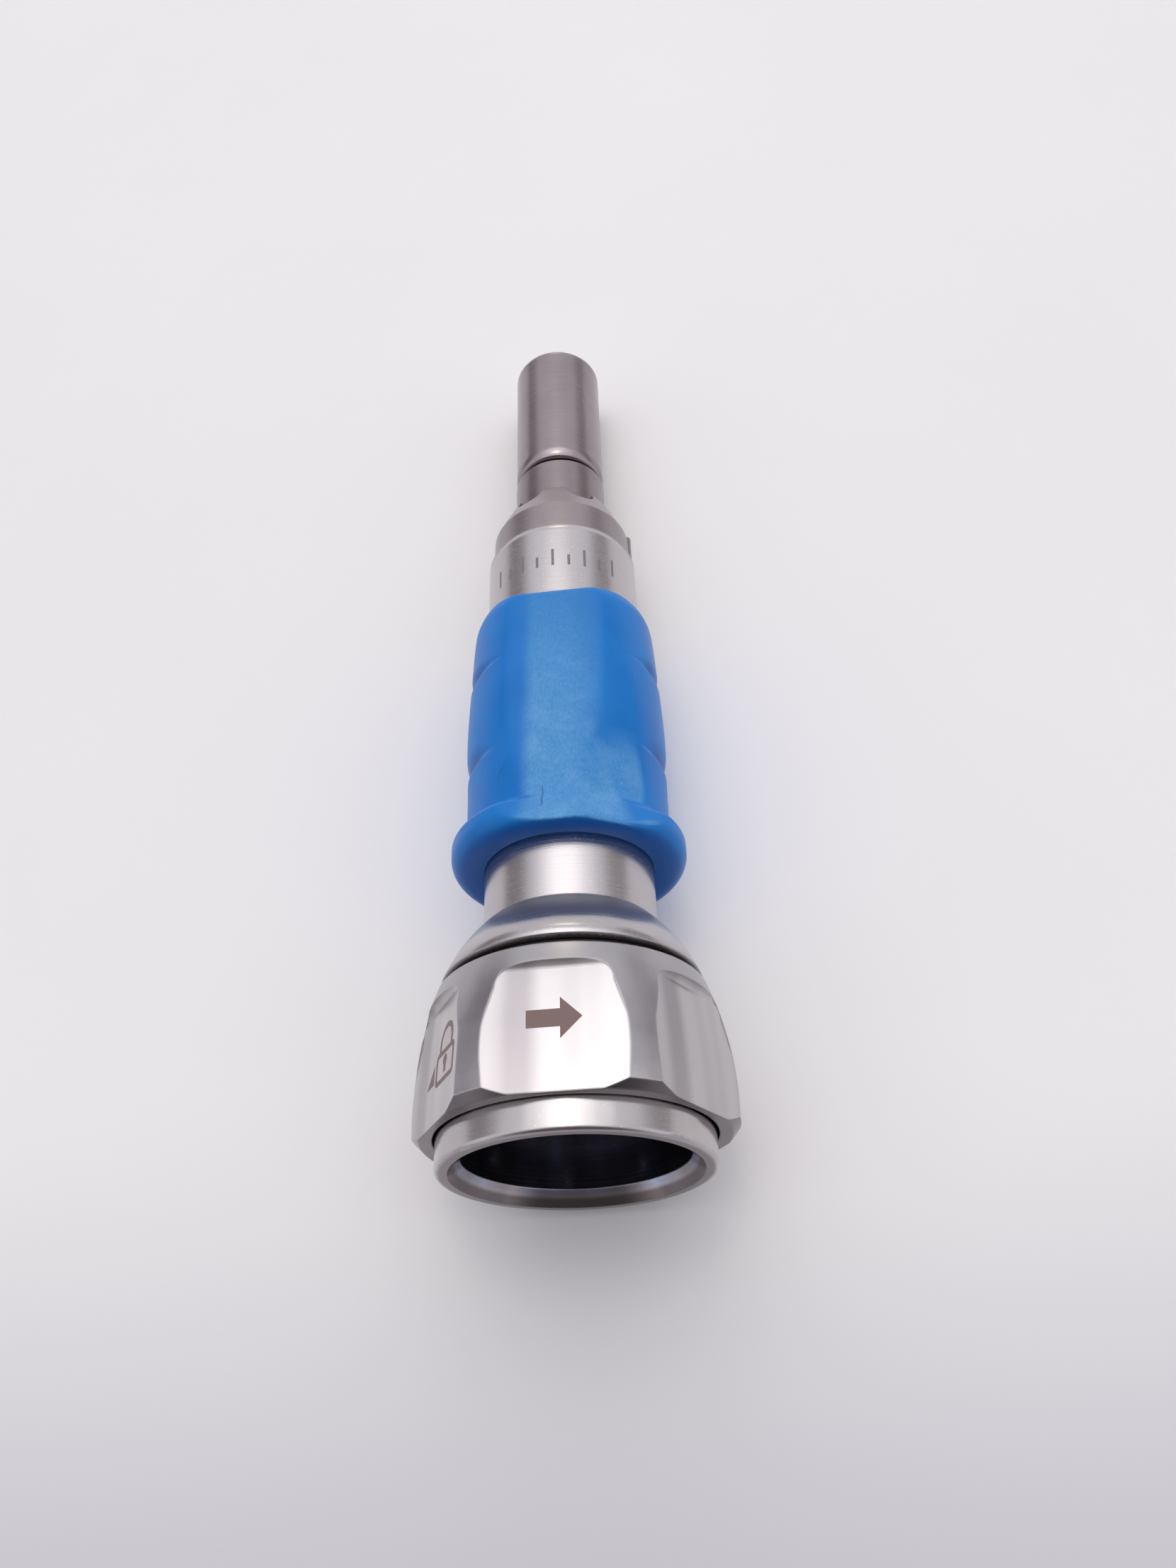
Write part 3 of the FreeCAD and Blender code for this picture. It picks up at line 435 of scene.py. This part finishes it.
def ring_steel():
    """Steel of the locking ring: satin turned lands, brighter milled panels with a painted dark reflection
    stripe down each, and painted shade on the rear chamfer.
    """
    shader = Shader("ring_steel")
    lines = turning_lines(shader, 5.0)
    (max_y, max_r), (front_y, front_r) = RING_MAX, RING_FRONT
    station = shader.station()
    part = shader.math("DIVIDE", shader.add_up(station, -max_y), front_y - max_y, clamp=True)
    drop = shader.times(shader.math("POWER", part, RING_POWER), max_r - front_r)
    barrel = shader.math("SUBTRACT", max_r, drop)
    below = shader.math("SUBTRACT", barrel, shader.math("DIVIDE", shader.radius(), MM))
    panel = shader.ramp(below, *PANEL_EDGE)
    rear = shader.ramp(shader.dot(shader.facing, (0.0, -1.0, 0.0)), 0.3, 0.5)
    # painted shade: the rear chamfer is darker
    chamfer_shade = shader.times(rear, shader.ramp(station, *RING_CHAMFER))
    bands = shader.noise(1.0, 1.0, 0.4, at=shader.vector(
        shader.times(shader.angle(), 4.0), shader.times(shader.y, 25.0), 0.0))
    cloud = shader.noise(260.0, 3.0, 0.55)
    land = shader.mix(shader.ramp(cloud, 0.3, 0.7), *LAND_TINTS)
    half = math.radians(PANEL_STEP / 2)
    across = shader.add("Math", operation="WRAP")
    for value, socket in zip((shader.angle(), half, -half), across.inputs):
        shader.put(value, socket)
    stripe = shader.math("ABSOLUTE", shader.add_up(across.outputs[0], -math.radians(PANEL_STRIPE)))
    soft_stripe = shader.ramp(stripe, math.radians(10.0), math.radians(2.0))
    # painted reflection: a dark stripe down each panel
    painted_stripe = shader.times(soft_stripe, shader.ramp(station, 3.0, 8.0, 0.85, 1.0))
    bright = shader.mix(shader.ramp(bands, 0.35, 0.62), *PANEL_TINTS)
    milled = shader.mix(painted_stripe, bright, STRIPE_REFLECTION_TINT)
    speck_mask = specks(shader, 6000.0, 0.22)
    cove = shader.times(panel, shader.ramp(station, *PANEL_COVE))
    shader.set(Base_Color=shader.mix(chamfer_shade, shader.mix(panel, land, milled), CHAMFER_SHADE_TINT),
               Metallic=shader.ramp(cove, 0.0, 1.0, 1.0, 0.35),
               Roughness=shader.add_up(shader.ramp(panel, 0.0, 1.0, 0.30, 0.22),
                                       shader.ramp(cloud, 0.3, 0.7, -0.03, 0.03)),
               Anisotropic=0.35,
               Normal=shader.bump(shader.add_up(lines, shader.times(speck_mask, 0.3)), 0.0007,
                                  shader.soft_edges(0.22)))
    shader.radial_tangent()
    return shader.material


HOUSING = housing_steel()
CROWN = turned_steel("crown_dark_steel", (0.36, 0.32, 0.335), 0.30, per_mm=4.0).material
INNER = turned_steel("inner_ground_steel", (0.52, 0.52, 0.54), 0.25, per_mm=5.0, anisotropy=0.3,
                     speck=0.1).material
# painted shade: darker steel for the parts deep in the bore
DEEP = turned_steel("shade_darkened_inner_steel", (0.30, 0.26, 0.27), 0.32, per_mm=5.0, anisotropy=0.3,
                    speck=0.1).material
NOSE = turned_steel("nose_dark_steel", (0.35, 0.305, 0.325), 0.25, per_mm=3.0, depth=0.0004, anisotropy=0.3,
                    speck=0.12, roundings=NOSE_ROUNDINGS).material
NOSE_TUBE = turned_steel("nose_tube_dark_steel", (0.31, 0.27, 0.285), 0.27, per_mm=3.0, depth=0.0004,
                         anisotropy=0.3, speck=0.12).material
BRONZE = turned_steel("bush_bronze", (0.62, 0.42, 0.20), 0.32).material
SOCKET = socket_steel()
RING = ring_steel()


# Rubber and polymers

BLUES = (srgb(16, 114, 198), srgb(22, 124, 208))
# painted highlight: the pale blues of the flats facing up
HIGHLIGHT_BLUES = (srgb(66, 140, 206), srgb(84, 155, 215))
# painted shade: darker blue on the notches' long slopes
NOTCH_SHADE_BLUE = srgb(8, 62, 132)
# painted shade: darker blue on faces turned to the rear
REAR_SHADE_BLUE = srgb(6, 94, 180)
SCUFF_BLUE = srgb(140, 190, 232)
# painted glints: bright specks near the flange
GLINT_BLUE = srgb(160, 204, 236)
# painted highlight along the edges
EDGE_HIGHLIGHT_BLUE = srgb(130, 186, 228)
CUT_BLUE = srgb(16, 66, 120)


def simple(name, colour, roughness, grain, depth):
    """Plain moulded or cast material with a fine grain."""
    shader = Shader(name)
    cloud = shader.noise(grain, 4.0, 0.6)
    light = tuple(min(1.0, c * 1.12) for c in colour)
    shader.set(Base_Color=shader.mix(cloud, tuple(c * 0.85 for c in colour), light),
               Roughness=shader.ramp(cloud, 0.3, 0.7, roughness - 0.06, roughness + 0.06),
               Normal=shader.bump(cloud, depth))
    return shader.material


RUBBER = simple("black_seal_rubber", (0.024, 0.018, 0.017), 0.55, 3000.0, 0.01)
GREY_RUBBER = simple("grey_ring_rubber", (0.11, 0.092, 0.098), 0.45, 3000.0, 0.004)
CAGE = simple("brown_slide_polymer", (0.20, 0.12, 0.06), 0.5, 2500.0, 0.008)
MARK = simple("laser_mark", srgb(124, 100, 97), 0.5, 9000.0, 0.002)
FAINT_MARK = simple("faint_laser_mark", srgb(128, 118, 124), 0.5, 9000.0, 0.002)


def thin_line(shader, start, end, angle, lean, width, wiggle):
    """Mask of a thin wavy line between two stations."""
    station = shader.station()
    bend = shader.times(shader.math("SUBTRACT", shader.noise(900.0, 2.0, 0.6), 0.5), math.radians(wiggle))
    middle = shader.add_up(shader.times(shader.add_up(station, -start), math.radians(lean)), bend)
    turn = shader.add_up(shader.angle(), -math.radians(angle))
    off = shader.math("ABSOLUTE", shader.math("SUBTRACT", turn, middle))
    ends = shader.times(shader.ramp(station, start, start + 0.3), shader.ramp(station, end, end - 0.9))
    return shader.times(shader.ramp(off, math.radians(width), math.radians(width * 0.3)), ends)


def notch_shade(shader):
    """Mask of the long slope of the finger notches, where shade is painted."""
    station = shader.station()
    side = shader.math("ABSOLUTE", shader.math("SINE", shader.add_up(
        shader.angle(), -math.radians(NOTCH_ANGLE - 90.0))))
    total = 0.0
    for notch, _ in NOTCHES:
        slope = shader.times(shader.ramp(station, notch - 0.25, notch + 0.1),
                             shader.ramp(station, notch + NOTCH_GENTLE, notch + 0.3))
        total = shader.add_up(total, slope)
    return shader.times(total, shader.ramp(side, 0.80, 0.93))


def grip_polymer():
    """Satin blue polymer, crackled on the flats, with scuffs, a crack and a scratch; painted highlights on
    the flats, the scoop, the crest and the edges, painted glints near the flange, and painted shade on the
    notches' long slopes and on faces turned to the rear.
    """
    shader = Shader("blue_grip_polymer")
    grain = shader.noise(7000.0, 3.0, 0.6)
    crackle = shader.noise(2600.0, 4.0, 0.66)
    cloud = shader.noise(220.0, 3.0, 0.5)
    smear = shader.noise(420.0, 3.0, 0.6)
    station = shader.station()
    up = shader.math("ABSOLUTE", shader.dot(shader.facing, sky_direction(*HIGHLIGHT_SKY)))
    scoop = shader.math("ABSOLUTE", shader.dot(shader.facing, sky_direction(90.0, 90.0 - SCOOP_ANGLE)))
    back = shader.dot(shader.facing, (0.0, -1.0, 0.0))
    drift = shader.times(shader.add_up(cloud, -0.5), 0.03)
    on_scoop = shader.times(shader.ramp(shader.add_up(scoop, drift), 0.95, 0.995),
                            shader.ramp(station, 34.0, 29.5, 0.0, 0.75))
    turn = shader.add_up(shader.angle(), shader.times(drift, 3.0))
    left, right = (shader.ramp(turn, *map(math.radians, side)) for side in CREST_ANGLES)
    crest = shader.times(shader.times(left, right),
                         shader.times(shader.ramp(station, *FLANGE_CREST), shader.ramp(back, 0.93, 0.60)))
    on_left, on_right = (shader.ramp(turn, *map(math.radians, side)) for side in FLAT_ANGLES)
    fading = shader.times(shader.times(on_left, on_right), shader.ramp(station, 50.0, 36.0, 0.45, 1.0))
    on_top = shader.times(shader.ramp(shader.add_up(up, drift), 0.85, 0.99), fading)
    # painted highlight: mask of the flats facing up, the scoop and the crest beside the flange
    on_flat = shader.math("MAXIMUM", shader.math("MAXIMUM", on_top, on_scoop), shader.times(crest, 0.9))
    mottle = shader.noise(1.0, 3.0, 0.62, at=shader.vector(
        shader.times(shader.x, 6200.0), shader.times(shader.y, 3200.0), shader.times(shader.z, 6200.0)))
    near_flange = shader.ramp(station, 38.0, 27.5)
    flat_near_flange = shader.times(on_flat, near_flange)
    # painted glints: bright specks on those flats near the flange
    glints = shader.times(specks(shader, 9000.0, 0.28), flat_near_flange)
    bevel = shader.soft_edges(0.3)
    edge_turn = shader.add("VectorMath", operation="DOT_PRODUCT")
    shader.put(bevel, edge_turn.inputs[0])
    shader.put(shader.add("NewGeometry").outputs["Normal"], edge_turn.inputs[1])
    # painted edge highlight: lighter where the rounded-off normal turns from the true one
    edge_highlight = shader.times(shader.ramp(edge_turn.outputs["Value"], 0.997, 0.975),
                          shader.ramp(crackle, 0.3, 0.6))
    scuff = shader.times(shader.times(on_flat, shader.ramp(station, 48.0, 30.0)),
                         shader.ramp(smear, 0.42, 0.66))
    blue = shader.mix(shader.ramp(cloud, 0.3, 0.75), *BLUES)
    # paler blue of the painted highlight on the flats
    flat_highlight = shader.mix(shader.ramp(mottle, 0.28, 0.72), *HIGHLIGHT_BLUES)
    pale = shader.mix(on_flat, blue, flat_highlight)
    # painted shade on the notches' long slopes
    side = shader.mix(shader.times(notch_shade(shader), 0.55), pale, NOTCH_SHADE_BLUE)
    # painted shade on faces turned to the rear
    rear = shader.mix(shader.ramp(back, 0.60, 0.97), side, REAR_SHADE_BLUE)
    wear_and_painted_light = shader.mix(shader.times(scuff, 0.22), rear, SCUFF_BLUE)
    # painted glints mixed in
    sparkle = shader.mix(shader.times(glints, 0.3), wear_and_painted_light, GLINT_BLUE)
    # painted edge highlight mixed in
    lit = shader.mix(shader.times(edge_highlight, 0.4), sparkle, EDGE_HIGHLIGHT_BLUE)
    crack = thin_line(shader, *CRACK)
    scratch = thin_line(shader, *SCRATCH)
    cut = shader.math("MAXIMUM", crack, scratch)
    height = shader.add_up(shader.times(grain, 0.2), shader.times(cut, -1.2),
                           shader.times(crackle, shader.ramp(flat_near_flange, 0.0, 1.0, 0.25, 1.5)),
                           shader.times(mottle, 0.5))
    shader.set(Base_Color=shader.mix(shader.times(cut, 0.6), lit, CUT_BLUE),
               Roughness=shader.add_up(shader.ramp(cloud, 0.35, 0.65, 0.33, 0.41), shader.times(scuff, 0.08)),
               Specular_IOR_Level=0.30,
               IOR=1.4,
               Normal=shader.bump(height, 0.016))
    return shader.material


GRIP = grip_polymer()

LOOKS = {
    "coupling_socket": SOCKET, "locking_ring": RING, "main_housing": HOUSING, "index_crown": CROWN,
    "index_pin": CROWN, "nose_tube": NOSE_TUBE, "nose_sleeve": NOSE, "grip_sleeve": GRIP,
    "gap_seal": RUBBER, "nose_o_ring": GREY_RUBBER, "shaft_seal": RUBBER, "slide_washer": CAGE,
    "rear_bearing_cage": CAGE, "front_bearing_cage": CAGE, "tip_bearing_cage": CAGE,
    "nose_guide_bush": BRONZE, "release_sleeve": DEEP, "drive_coupling": DEEP, "cam_pins": DEEP,
    "spindle_shaft": DEEP,
}
for name, node in NODES.items():
    node.data.materials.clear()
    node.data.materials.append(LOOKS.get(name, INNER))


# Blue grip, as one surface round the axis

def smooth_least(a, b, soft):
    """Lesser of two values, blended over a width."""
    blend = max(soft - abs(a - b), 0.0) / soft
    return min(a, b) - blend * blend * soft / 4


def line_at(line, y, soft):
    """Height of a line of three points, with its middle corner rounded."""
    (y0, h0), (y1, h1), (y2, h2) = line
    rear = h1 + (y - y1) * (h1 - h0) / (y1 - y0)
    front = h1 + (y - y1) * (h2 - h1) / (y2 - y1)
    return -smooth_least(-rear, -front, soft)


def quarter(centre, radius, start, end, steps):
    """Points of an arc; angles are in degrees from the +Y direction towards the outside."""
    points = []
    for i in range(steps + 1):
        a = math.radians(start + (end - start) * i / steps)
        points.append((centre[0] + radius * math.cos(a), centre[1] + radius * math.sin(a)))
    return points


def spline(points, step):
    """Smooth curve through the points, sampled at about a step."""
    out = []
    for i in range(len(points) - 1):
        p0, p1 = points[max(i - 1, 0)], points[i]
        p2, p3 = points[i + 1], points[min(i + 2, len(points) - 1)]
        count = max(2, int(math.dist(p1, p2) / step))
        for j in range(count):
            t = j / count
            out.append(tuple(0.5 * (2 * b + (c - a) * t + (2 * a - 5 * b + 4 * c - d) * t * t
                                    + (3 * b - a - 3 * c + d) * t ** 3)
                             for a, b, c, d in zip(p0, p1, p2, p3)))
    out.append(points[-1])
    return out


def grip_profile():
    """Outside of the grip before its flats and notches are taken off."""
    crest = FLANGE_R - FLANGE_EDGE_R
    front = FLANGE_CREST_END + FLANGE_FRONT_R
    points = [(GRIP_REAR + 0.16, SEAT_R - SEAT_OVERLAP), (GRIP_REAR + 0.05, SEAT_R + 0.12),
              (GRIP_REAR, SEAT_R + 0.25)]
    points += quarter((GRIP_REAR + FLANGE_EDGE_R, crest), FLANGE_EDGE_R, 180.0, 90.0, 14)
    points += quarter((FLANGE_CREST_END, FLANGE_R - FLANGE_FRONT_R), FLANGE_FRONT_R, 90.0, 0.0, 8)
    points += quarter((front + FLANGE_ROOT_R, FLANGE_R - FLANGE_FRONT_R), FLANGE_ROOT_R, 180.0, 270.0, 10)[1:]
    points += spline(GRIP_BODY, 0.14)[1:]
    points.append((GRIP_FRONT, SEAT_R - SEAT_OVERLAP))
    return points


def notch_radius(y, degrees, notch, centre_angle):
    """Distance from the axis of a notch's faces."""
    station, surface = notch
    floor = surface + NOTCH_SHIFT - NOTCH_DEPTH
    steep = (station - y) * NOTCH_DEPTH / NOTCH_STEEP
    gentle = (y - station) * NOTCH_DEPTH / NOTCH_GENTLE
    rho = floor - smooth_least(-steep, -gentle, NOTCH_BOTTOM)
    a = math.radians(degrees - centre_angle)
    if math.cos(a) < NOTCH_SIDE:
        return 2 * FLANGE_R
    return -NOTCH_SHIFT * math.cos(a) + math.sqrt(rho * rho - (NOTCH_SHIFT * math.sin(a)) ** 2)


def grip_radius(y, base, degrees):
    """Radius of the grip at a station and an angle."""
    radius = base
    for half_turn in (0.0, 180.0):
        for line, angle, soft in ((FLAT_LINE, 0.0, FLAT_CREASE), (SCOOP_LINE, SCOOP_ANGLE, SCOOP_CREASE)):
            lean = math.cos(math.radians(degrees - angle - half_turn))
            if lean > FACE_REACH:
                radius = smooth_least(radius, line_at(line, y, LINE_CORNER) / lean, soft)
        lean = math.cos(math.radians(degrees - half_turn))
        (y0, h0), (y1, h1) = RELIEF
        if lean > RELIEF_REACH and y > y0 - RELIEF_LEAD:
            height = h0 + (y - y0) * (h1 - h0) / (y1 - y0)
            radius = smooth_least(radius, height / lean, RELIEF_CREASE)
        for notch in NOTCHES:
            if abs(y - notch[0]) < NOTCH_REACH:
                faces = notch_radius(y, degrees, notch, NOTCH_ANGLE + half_turn)
                radius = smooth_least(radius, faces, NOTCH_CREASE)
    return max(radius, min(base, SEAT_R - SEAT_OVERLAP))


def lathe(name, rows):
    """Closed surface from rows of (station, radius at each column)."""
    mesh = bpy.data.meshes.new(name)
    shape = bmesh.new()
    rings = []
    for y, radii in rows:
        ring = []
        for i, radius in enumerate(radii):
            a = 2 * math.pi * i / len(radii)
            ring.append(shape.verts.new((radius * math.sin(a) * MM, along(y), radius * math.cos(a) * MM)))
        rings.append(ring)
    for low, high in zip(rings, rings[1:] + rings[:1]):
        for i in range(len(low)):
            j = (i + 1) % len(low)
            shape.faces.new((low[i], low[j], high[j], high[i]))
    bmesh.ops.recalc_face_normals(shape, faces=shape.faces)
    for face in shape.faces:
        face.smooth = True
    shape.to_mesh(mesh)
    shape.free()
    piece = bpy.data.objects.new(name, mesh)
    bpy.context.scene.collection.objects.link(piece)
    return piece


def grip():
    """Blue grip with soft creases."""
    rows = []
    for y, base in grip_profile():
        rows.append((y, [grip_radius(y, base, 360.0 * i / COLUMNS) for i in range(COLUMNS)]))
    (groove_y, groove_r), (groove_end, _) = SEAT_GROOVE
    inner = SEAT_R - INNER_OVERLAP
    for y, r in ((GRIP_FRONT - 0.05, inner), (groove_end, inner), (groove_end, groove_r),
                 (groove_y, groove_r), (groove_y, inner), (GRIP_REAR + 0.4, inner)):
        rows.append((y, [r] * COLUMNS))
    piece = lathe("blue_grip", rows)
    piece.data.materials.append(GRIP)
    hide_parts("grip_sleeve")
    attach(piece, "handpiece_body")


grip()


# Signs

def arc_points(x, y, radius, start, end, steps):
    """Points of an arc round (x, y)."""
    angles = [math.radians(start + (end - start) * i / steps) for i in range(steps + 1)]
    return [(x + radius * math.cos(angle), y + radius * math.sin(angle)) for angle in angles]


def rounded_box(x0, y0, x1, y1, radius):
    """Outline of a box with round corners."""
    left, right, near, far = x0 + radius, x1 - radius, y0 + radius, y1 - radius
    outline = []
    for corner_x, corner_y, start in ((right, near, -90.0), (right, far, 0.0), (left, far, 90.0),
                                      (left, near, 180.0)):
        outline += arc_points(corner_x, corner_y, radius, start, start + 90.0, 6)
    return outline


def flat_sign(name, outlines, surface, degrees, body, material):
    """Thin mark on a surface; outlines are (x, station), and surface gives the height at (x, station)."""
    curve = bpy.data.curves.new(name, "CURVE")
    curve.dimensions = "2D"
    curve.fill_mode = "BOTH"
    curve.extrude = 0.02
    for outline in outlines:
        path = curve.splines.new("POLY")
        path.points.add(len(outline) - 1)
        for point, (x, y) in zip(path.points, outline):
            point.co = (x, y, 0.0, 1.0)
        path.use_cyclic_u = True
    drawn = bpy.data.objects.new(name + "_outline", curve)
    mesh = bpy.data.meshes.new_from_object(drawn)
    bpy.data.objects.remove(drawn)
    shape = bmesh.new()
    shape.from_mesh(mesh)
    bmesh.ops.remove_doubles(shape, verts=shape.verts, dist=1e-5)
    bmesh.ops.triangulate(shape, faces=shape.faces)
    for vertex in shape.verts:
        x, y, side = vertex.co
        x, height = surface(x, y)
        vertex.co = (x * MM, along(y), (height + (MARK_RISE if side > 0 else -MARK_ROOT)) * MM)
    bmesh.ops.recalc_face_normals(shape, faces=shape.faces)
    shape.to_mesh(mesh)
    shape.free()
    mesh.name = name
    mesh.transform(Matrix.Rotation(math.radians(degrees), 4, "Y"))
    piece = bpy.data.objects.new(name, mesh)
    bpy.context.scene.collection.objects.link(piece)
    mesh.materials.clear()
    mesh.materials.append(material)
    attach(piece, body)


def panel_height(x, y):
    """Place on a panel's floor: the floor is an arc along the axis and straight across it."""
    (y0, h0), (y1, h1), (y2, h2) = PANEL_FLOOR
    share = ((y - y1) * (y - y2) / ((y0 - y1) * (y0 - y2)), (y - y0) * (y - y2) / ((y1 - y0) * (y1 - y2)),
             (y - y0) * (y - y1) / ((y2 - y0) * (y2 - y1)))
    return x, share[0] * h0 + share[1] * h1 + share[2] * h2


def padlock(x, y):
    """Outlines of a closed padlock: case with a keyhole, and a shackle towards the nose."""
    half, height, stroke = 1.95, 2.4, 0.36
    case = rounded_box(x - half, y, x + half, y + height, 0.45)
    window = rounded_box(x - half + stroke, y + stroke, x + half - stroke, y + height - stroke, 0.2)
    eye, eye_r, slot_half, slot_end = y + 1.5, 0.42, 0.24, y + 0.68
    keyhole = (arc_points(x, eye, eye_r, -60.0, 240.0, 14)
               + [(x - slot_half, slot_end), (x + slot_half, slot_end)])
    outer, inner, foot, tall = 1.42, 1.02, y + height + 0.03, 4.3
    top = y + tall - outer
    shackle = (arc_points(x, top, outer, 0.0, 180.0, 16) + [(x - outer, foot), (x - inner, foot)]
               + arc_points(x, top, inner, 180.0, 0.0, 16) + [(x + inner, foot), (x + outer, foot)])
    return [case, window, keyhole, shackle]


def turn_arrow(x, y):
    """Outline of a broad arrow that points in the locking direction."""
    tip, tail, head = x + ARROW_HALF_LENGTH, x - ARROW_HALF_LENGTH, x + ARROW_HEAD_START
    wing, shaft = ARROW_HEAD_HALF, ARROW_SHAFT_HALF
    return [[(tip, y), (head, y + wing), (head, y + shaft), (tail, y + shaft),
             (tail, y - shaft), (head, y - shaft), (head, y - wing)]]


def tick(x, y, length):
    """Outline of one short line along the axis."""
    left, right = x - TICK_HALF_WIDTH, x + TICK_HALF_WIDTH
    return [[(left, y), (right, y), (right, y + length), (left, y + length)]]


def collar_height(x, y):
    """Place on the collar's round surface; x is counted along the surface."""
    a = x / COLLAR_R
    return COLLAR_R * math.sin(a), COLLAR_R * math.cos(a)


flat_sign("padlock_mark", padlock(*PADLOCK_AT), panel_height, -PANEL_STEP, "locking_ring", MARK)
flat_sign("index_triangle_mark", [TRIANGLE], panel_height, -PANEL_STEP, "locking_ring", MARK)
flat_sign("turn_arrow_mark", turn_arrow(*ARROW_AT), panel_height, 0.0, "locking_ring", MARK)
for index in range(-4, 5):
    line = tick(0.0, TICK_START, LONG_TICK if index % 2 == 0 else SHORT_TICK)
    flat_sign("collar_tick_%d" % (index + 5), line, collar_height, index * TICK_STEP, "handpiece_body",
              FAINT_MARK)


# Table, light and camera

def table_height(y):
    """Height of the table under a place on the axis."""
    (ring_station, ring_z), (tip_station, tip_z) = TOUCH_RING, TOUCH_TIP
    slope = (tip_z - ring_z) / (tip_station - ring_station)
    return (ring_z - TABLE_GAP + (y / MM + STOP - ring_station) * slope) * MM


def table():
    """Pale table top under the handpiece, with painted shade towards the camera."""
    mesh = bpy.data.meshes.new("table")
    shape = bmesh.new()
    bmesh.ops.create_circle(shape, cap_ends=True, segments=96, radius=TABLE_RADIUS)
    shape.to_mesh(mesh)
    shape.free()
    top = bpy.data.objects.new("table", mesh)
    bpy.context.scene.collection.objects.link(top)
    slope = math.atan2(table_height(MM) - table_height(0.0), MM)
    top.matrix_world = Matrix.Translation((0.0, 0.0, table_height(0.0))) @ Matrix.Rotation(slope, 4, "X")
    shader = Shader("pale_table")
    cloud = shader.noise(22.0, 4.0, 0.6)
    pale = shader.mix(cloud, *TABLE_TINTS)
    # painted shade: the table darkens towards the camera
    near = shader.ramp(shader.y, *TABLE_SHADE)
    shader.set(Base_Color=shader.mix(near, pale, TABLE_PAINTED_SHADE_TINT), Roughness=0.5)
    mesh.materials.append(shader.material)


def lamp(name, target, azimuth, elevation, distance, size, power):
    """Soft lamp turned towards a target."""
    data = bpy.data.lights.new(name, "AREA")
    data.shape = "RECTANGLE"
    data.size, data.size_y = size
    data.energy = power
    piece = bpy.data.objects.new(name, data)
    away = sky_direction(azimuth, elevation)
    piece.location = target + away * distance
    piece.rotation_euler = away.to_track_quat("Z", "Y").to_euler()
    bpy.context.scene.collection.objects.link(piece)


def world():
    """Soft room: bright over the nose, brown and darker at both sides and behind the camera."""
    room = bpy.data.worlds.new("room")
    bpy.context.scene.world = room
    room.use_nodes = True
    nodes = Nodes(room.node_tree)
    direction = nodes.add("TexCoord").outputs["Generated"]
    colour = nodes.mix(0.0, ROOM, ROOM)
    for (azimuth, elevation), far, near, tint, strength in ZONES:
        facing = nodes.dot(direction, sky_direction(azimuth, elevation))
        inside = nodes.ramp(facing, math.cos(math.radians(far)), math.cos(math.radians(near)), 0.0, strength)
        colour = nodes.mix(inside, colour, tint)
    seen = nodes.add("LightPath").outputs["Is Camera Ray"]
    background = nodes.add("Background")
    nodes.put(nodes.mix(seen, colour, ROOM_SEEN), background.inputs["Color"])
    background.inputs["Strength"].default_value = 1.0
    nodes.put(background.outputs[0], nodes.add("OutputWorld").inputs["Surface"])


def camera():
    """Camera at the photograph's place and angle."""
    cos_p, sin_p = math.cos(CAMERA_PITCH), math.sin(CAMERA_PITCH)
    right = Vector((1, 0, 0))
    ahead = Vector((0, cos_p, -sin_p))
    up = Vector((0, sin_p, cos_p))
    c, s = math.cos(CAMERA_YAW), math.sin(CAMERA_YAW)
    ahead, right = ahead * c + right * s, right * c - ahead * s
    c, s = math.cos(CAMERA_ROLL), math.sin(CAMERA_ROLL)
    right, up = right * c + up * s, up * c - right * s
    data = bpy.data.cameras.new("photo_camera")
    data.sensor_fit = "VERTICAL"
    data.sensor_height = SENSOR
    data.lens = FOCAL_PX * SENSOR / PHOTO_SIZE[1]
    data.clip_start = CLIP_START
    eye = bpy.data.objects.new("photo_camera", data)
    bpy.context.scene.collection.objects.link(eye)
    turn = Matrix((right, up, -ahead)).transposed().to_4x4()
    roll = Matrix.Rotation(PART_ROLL, 4, "Y")
    eye.matrix_world = roll @ Matrix.Translation(CAMERA_AT) @ turn
    bpy.context.scene.camera = eye


table()
world()
lamp("key_lamp", Vector((0.0, along(LAMP_AIM), 0.0)), *LAMP_SKY, LAMP_DISTANCE, LAMP_SIZE, LAMP_POWER)
camera()
bpy.context.scene.view_settings.view_transform = "Standard"
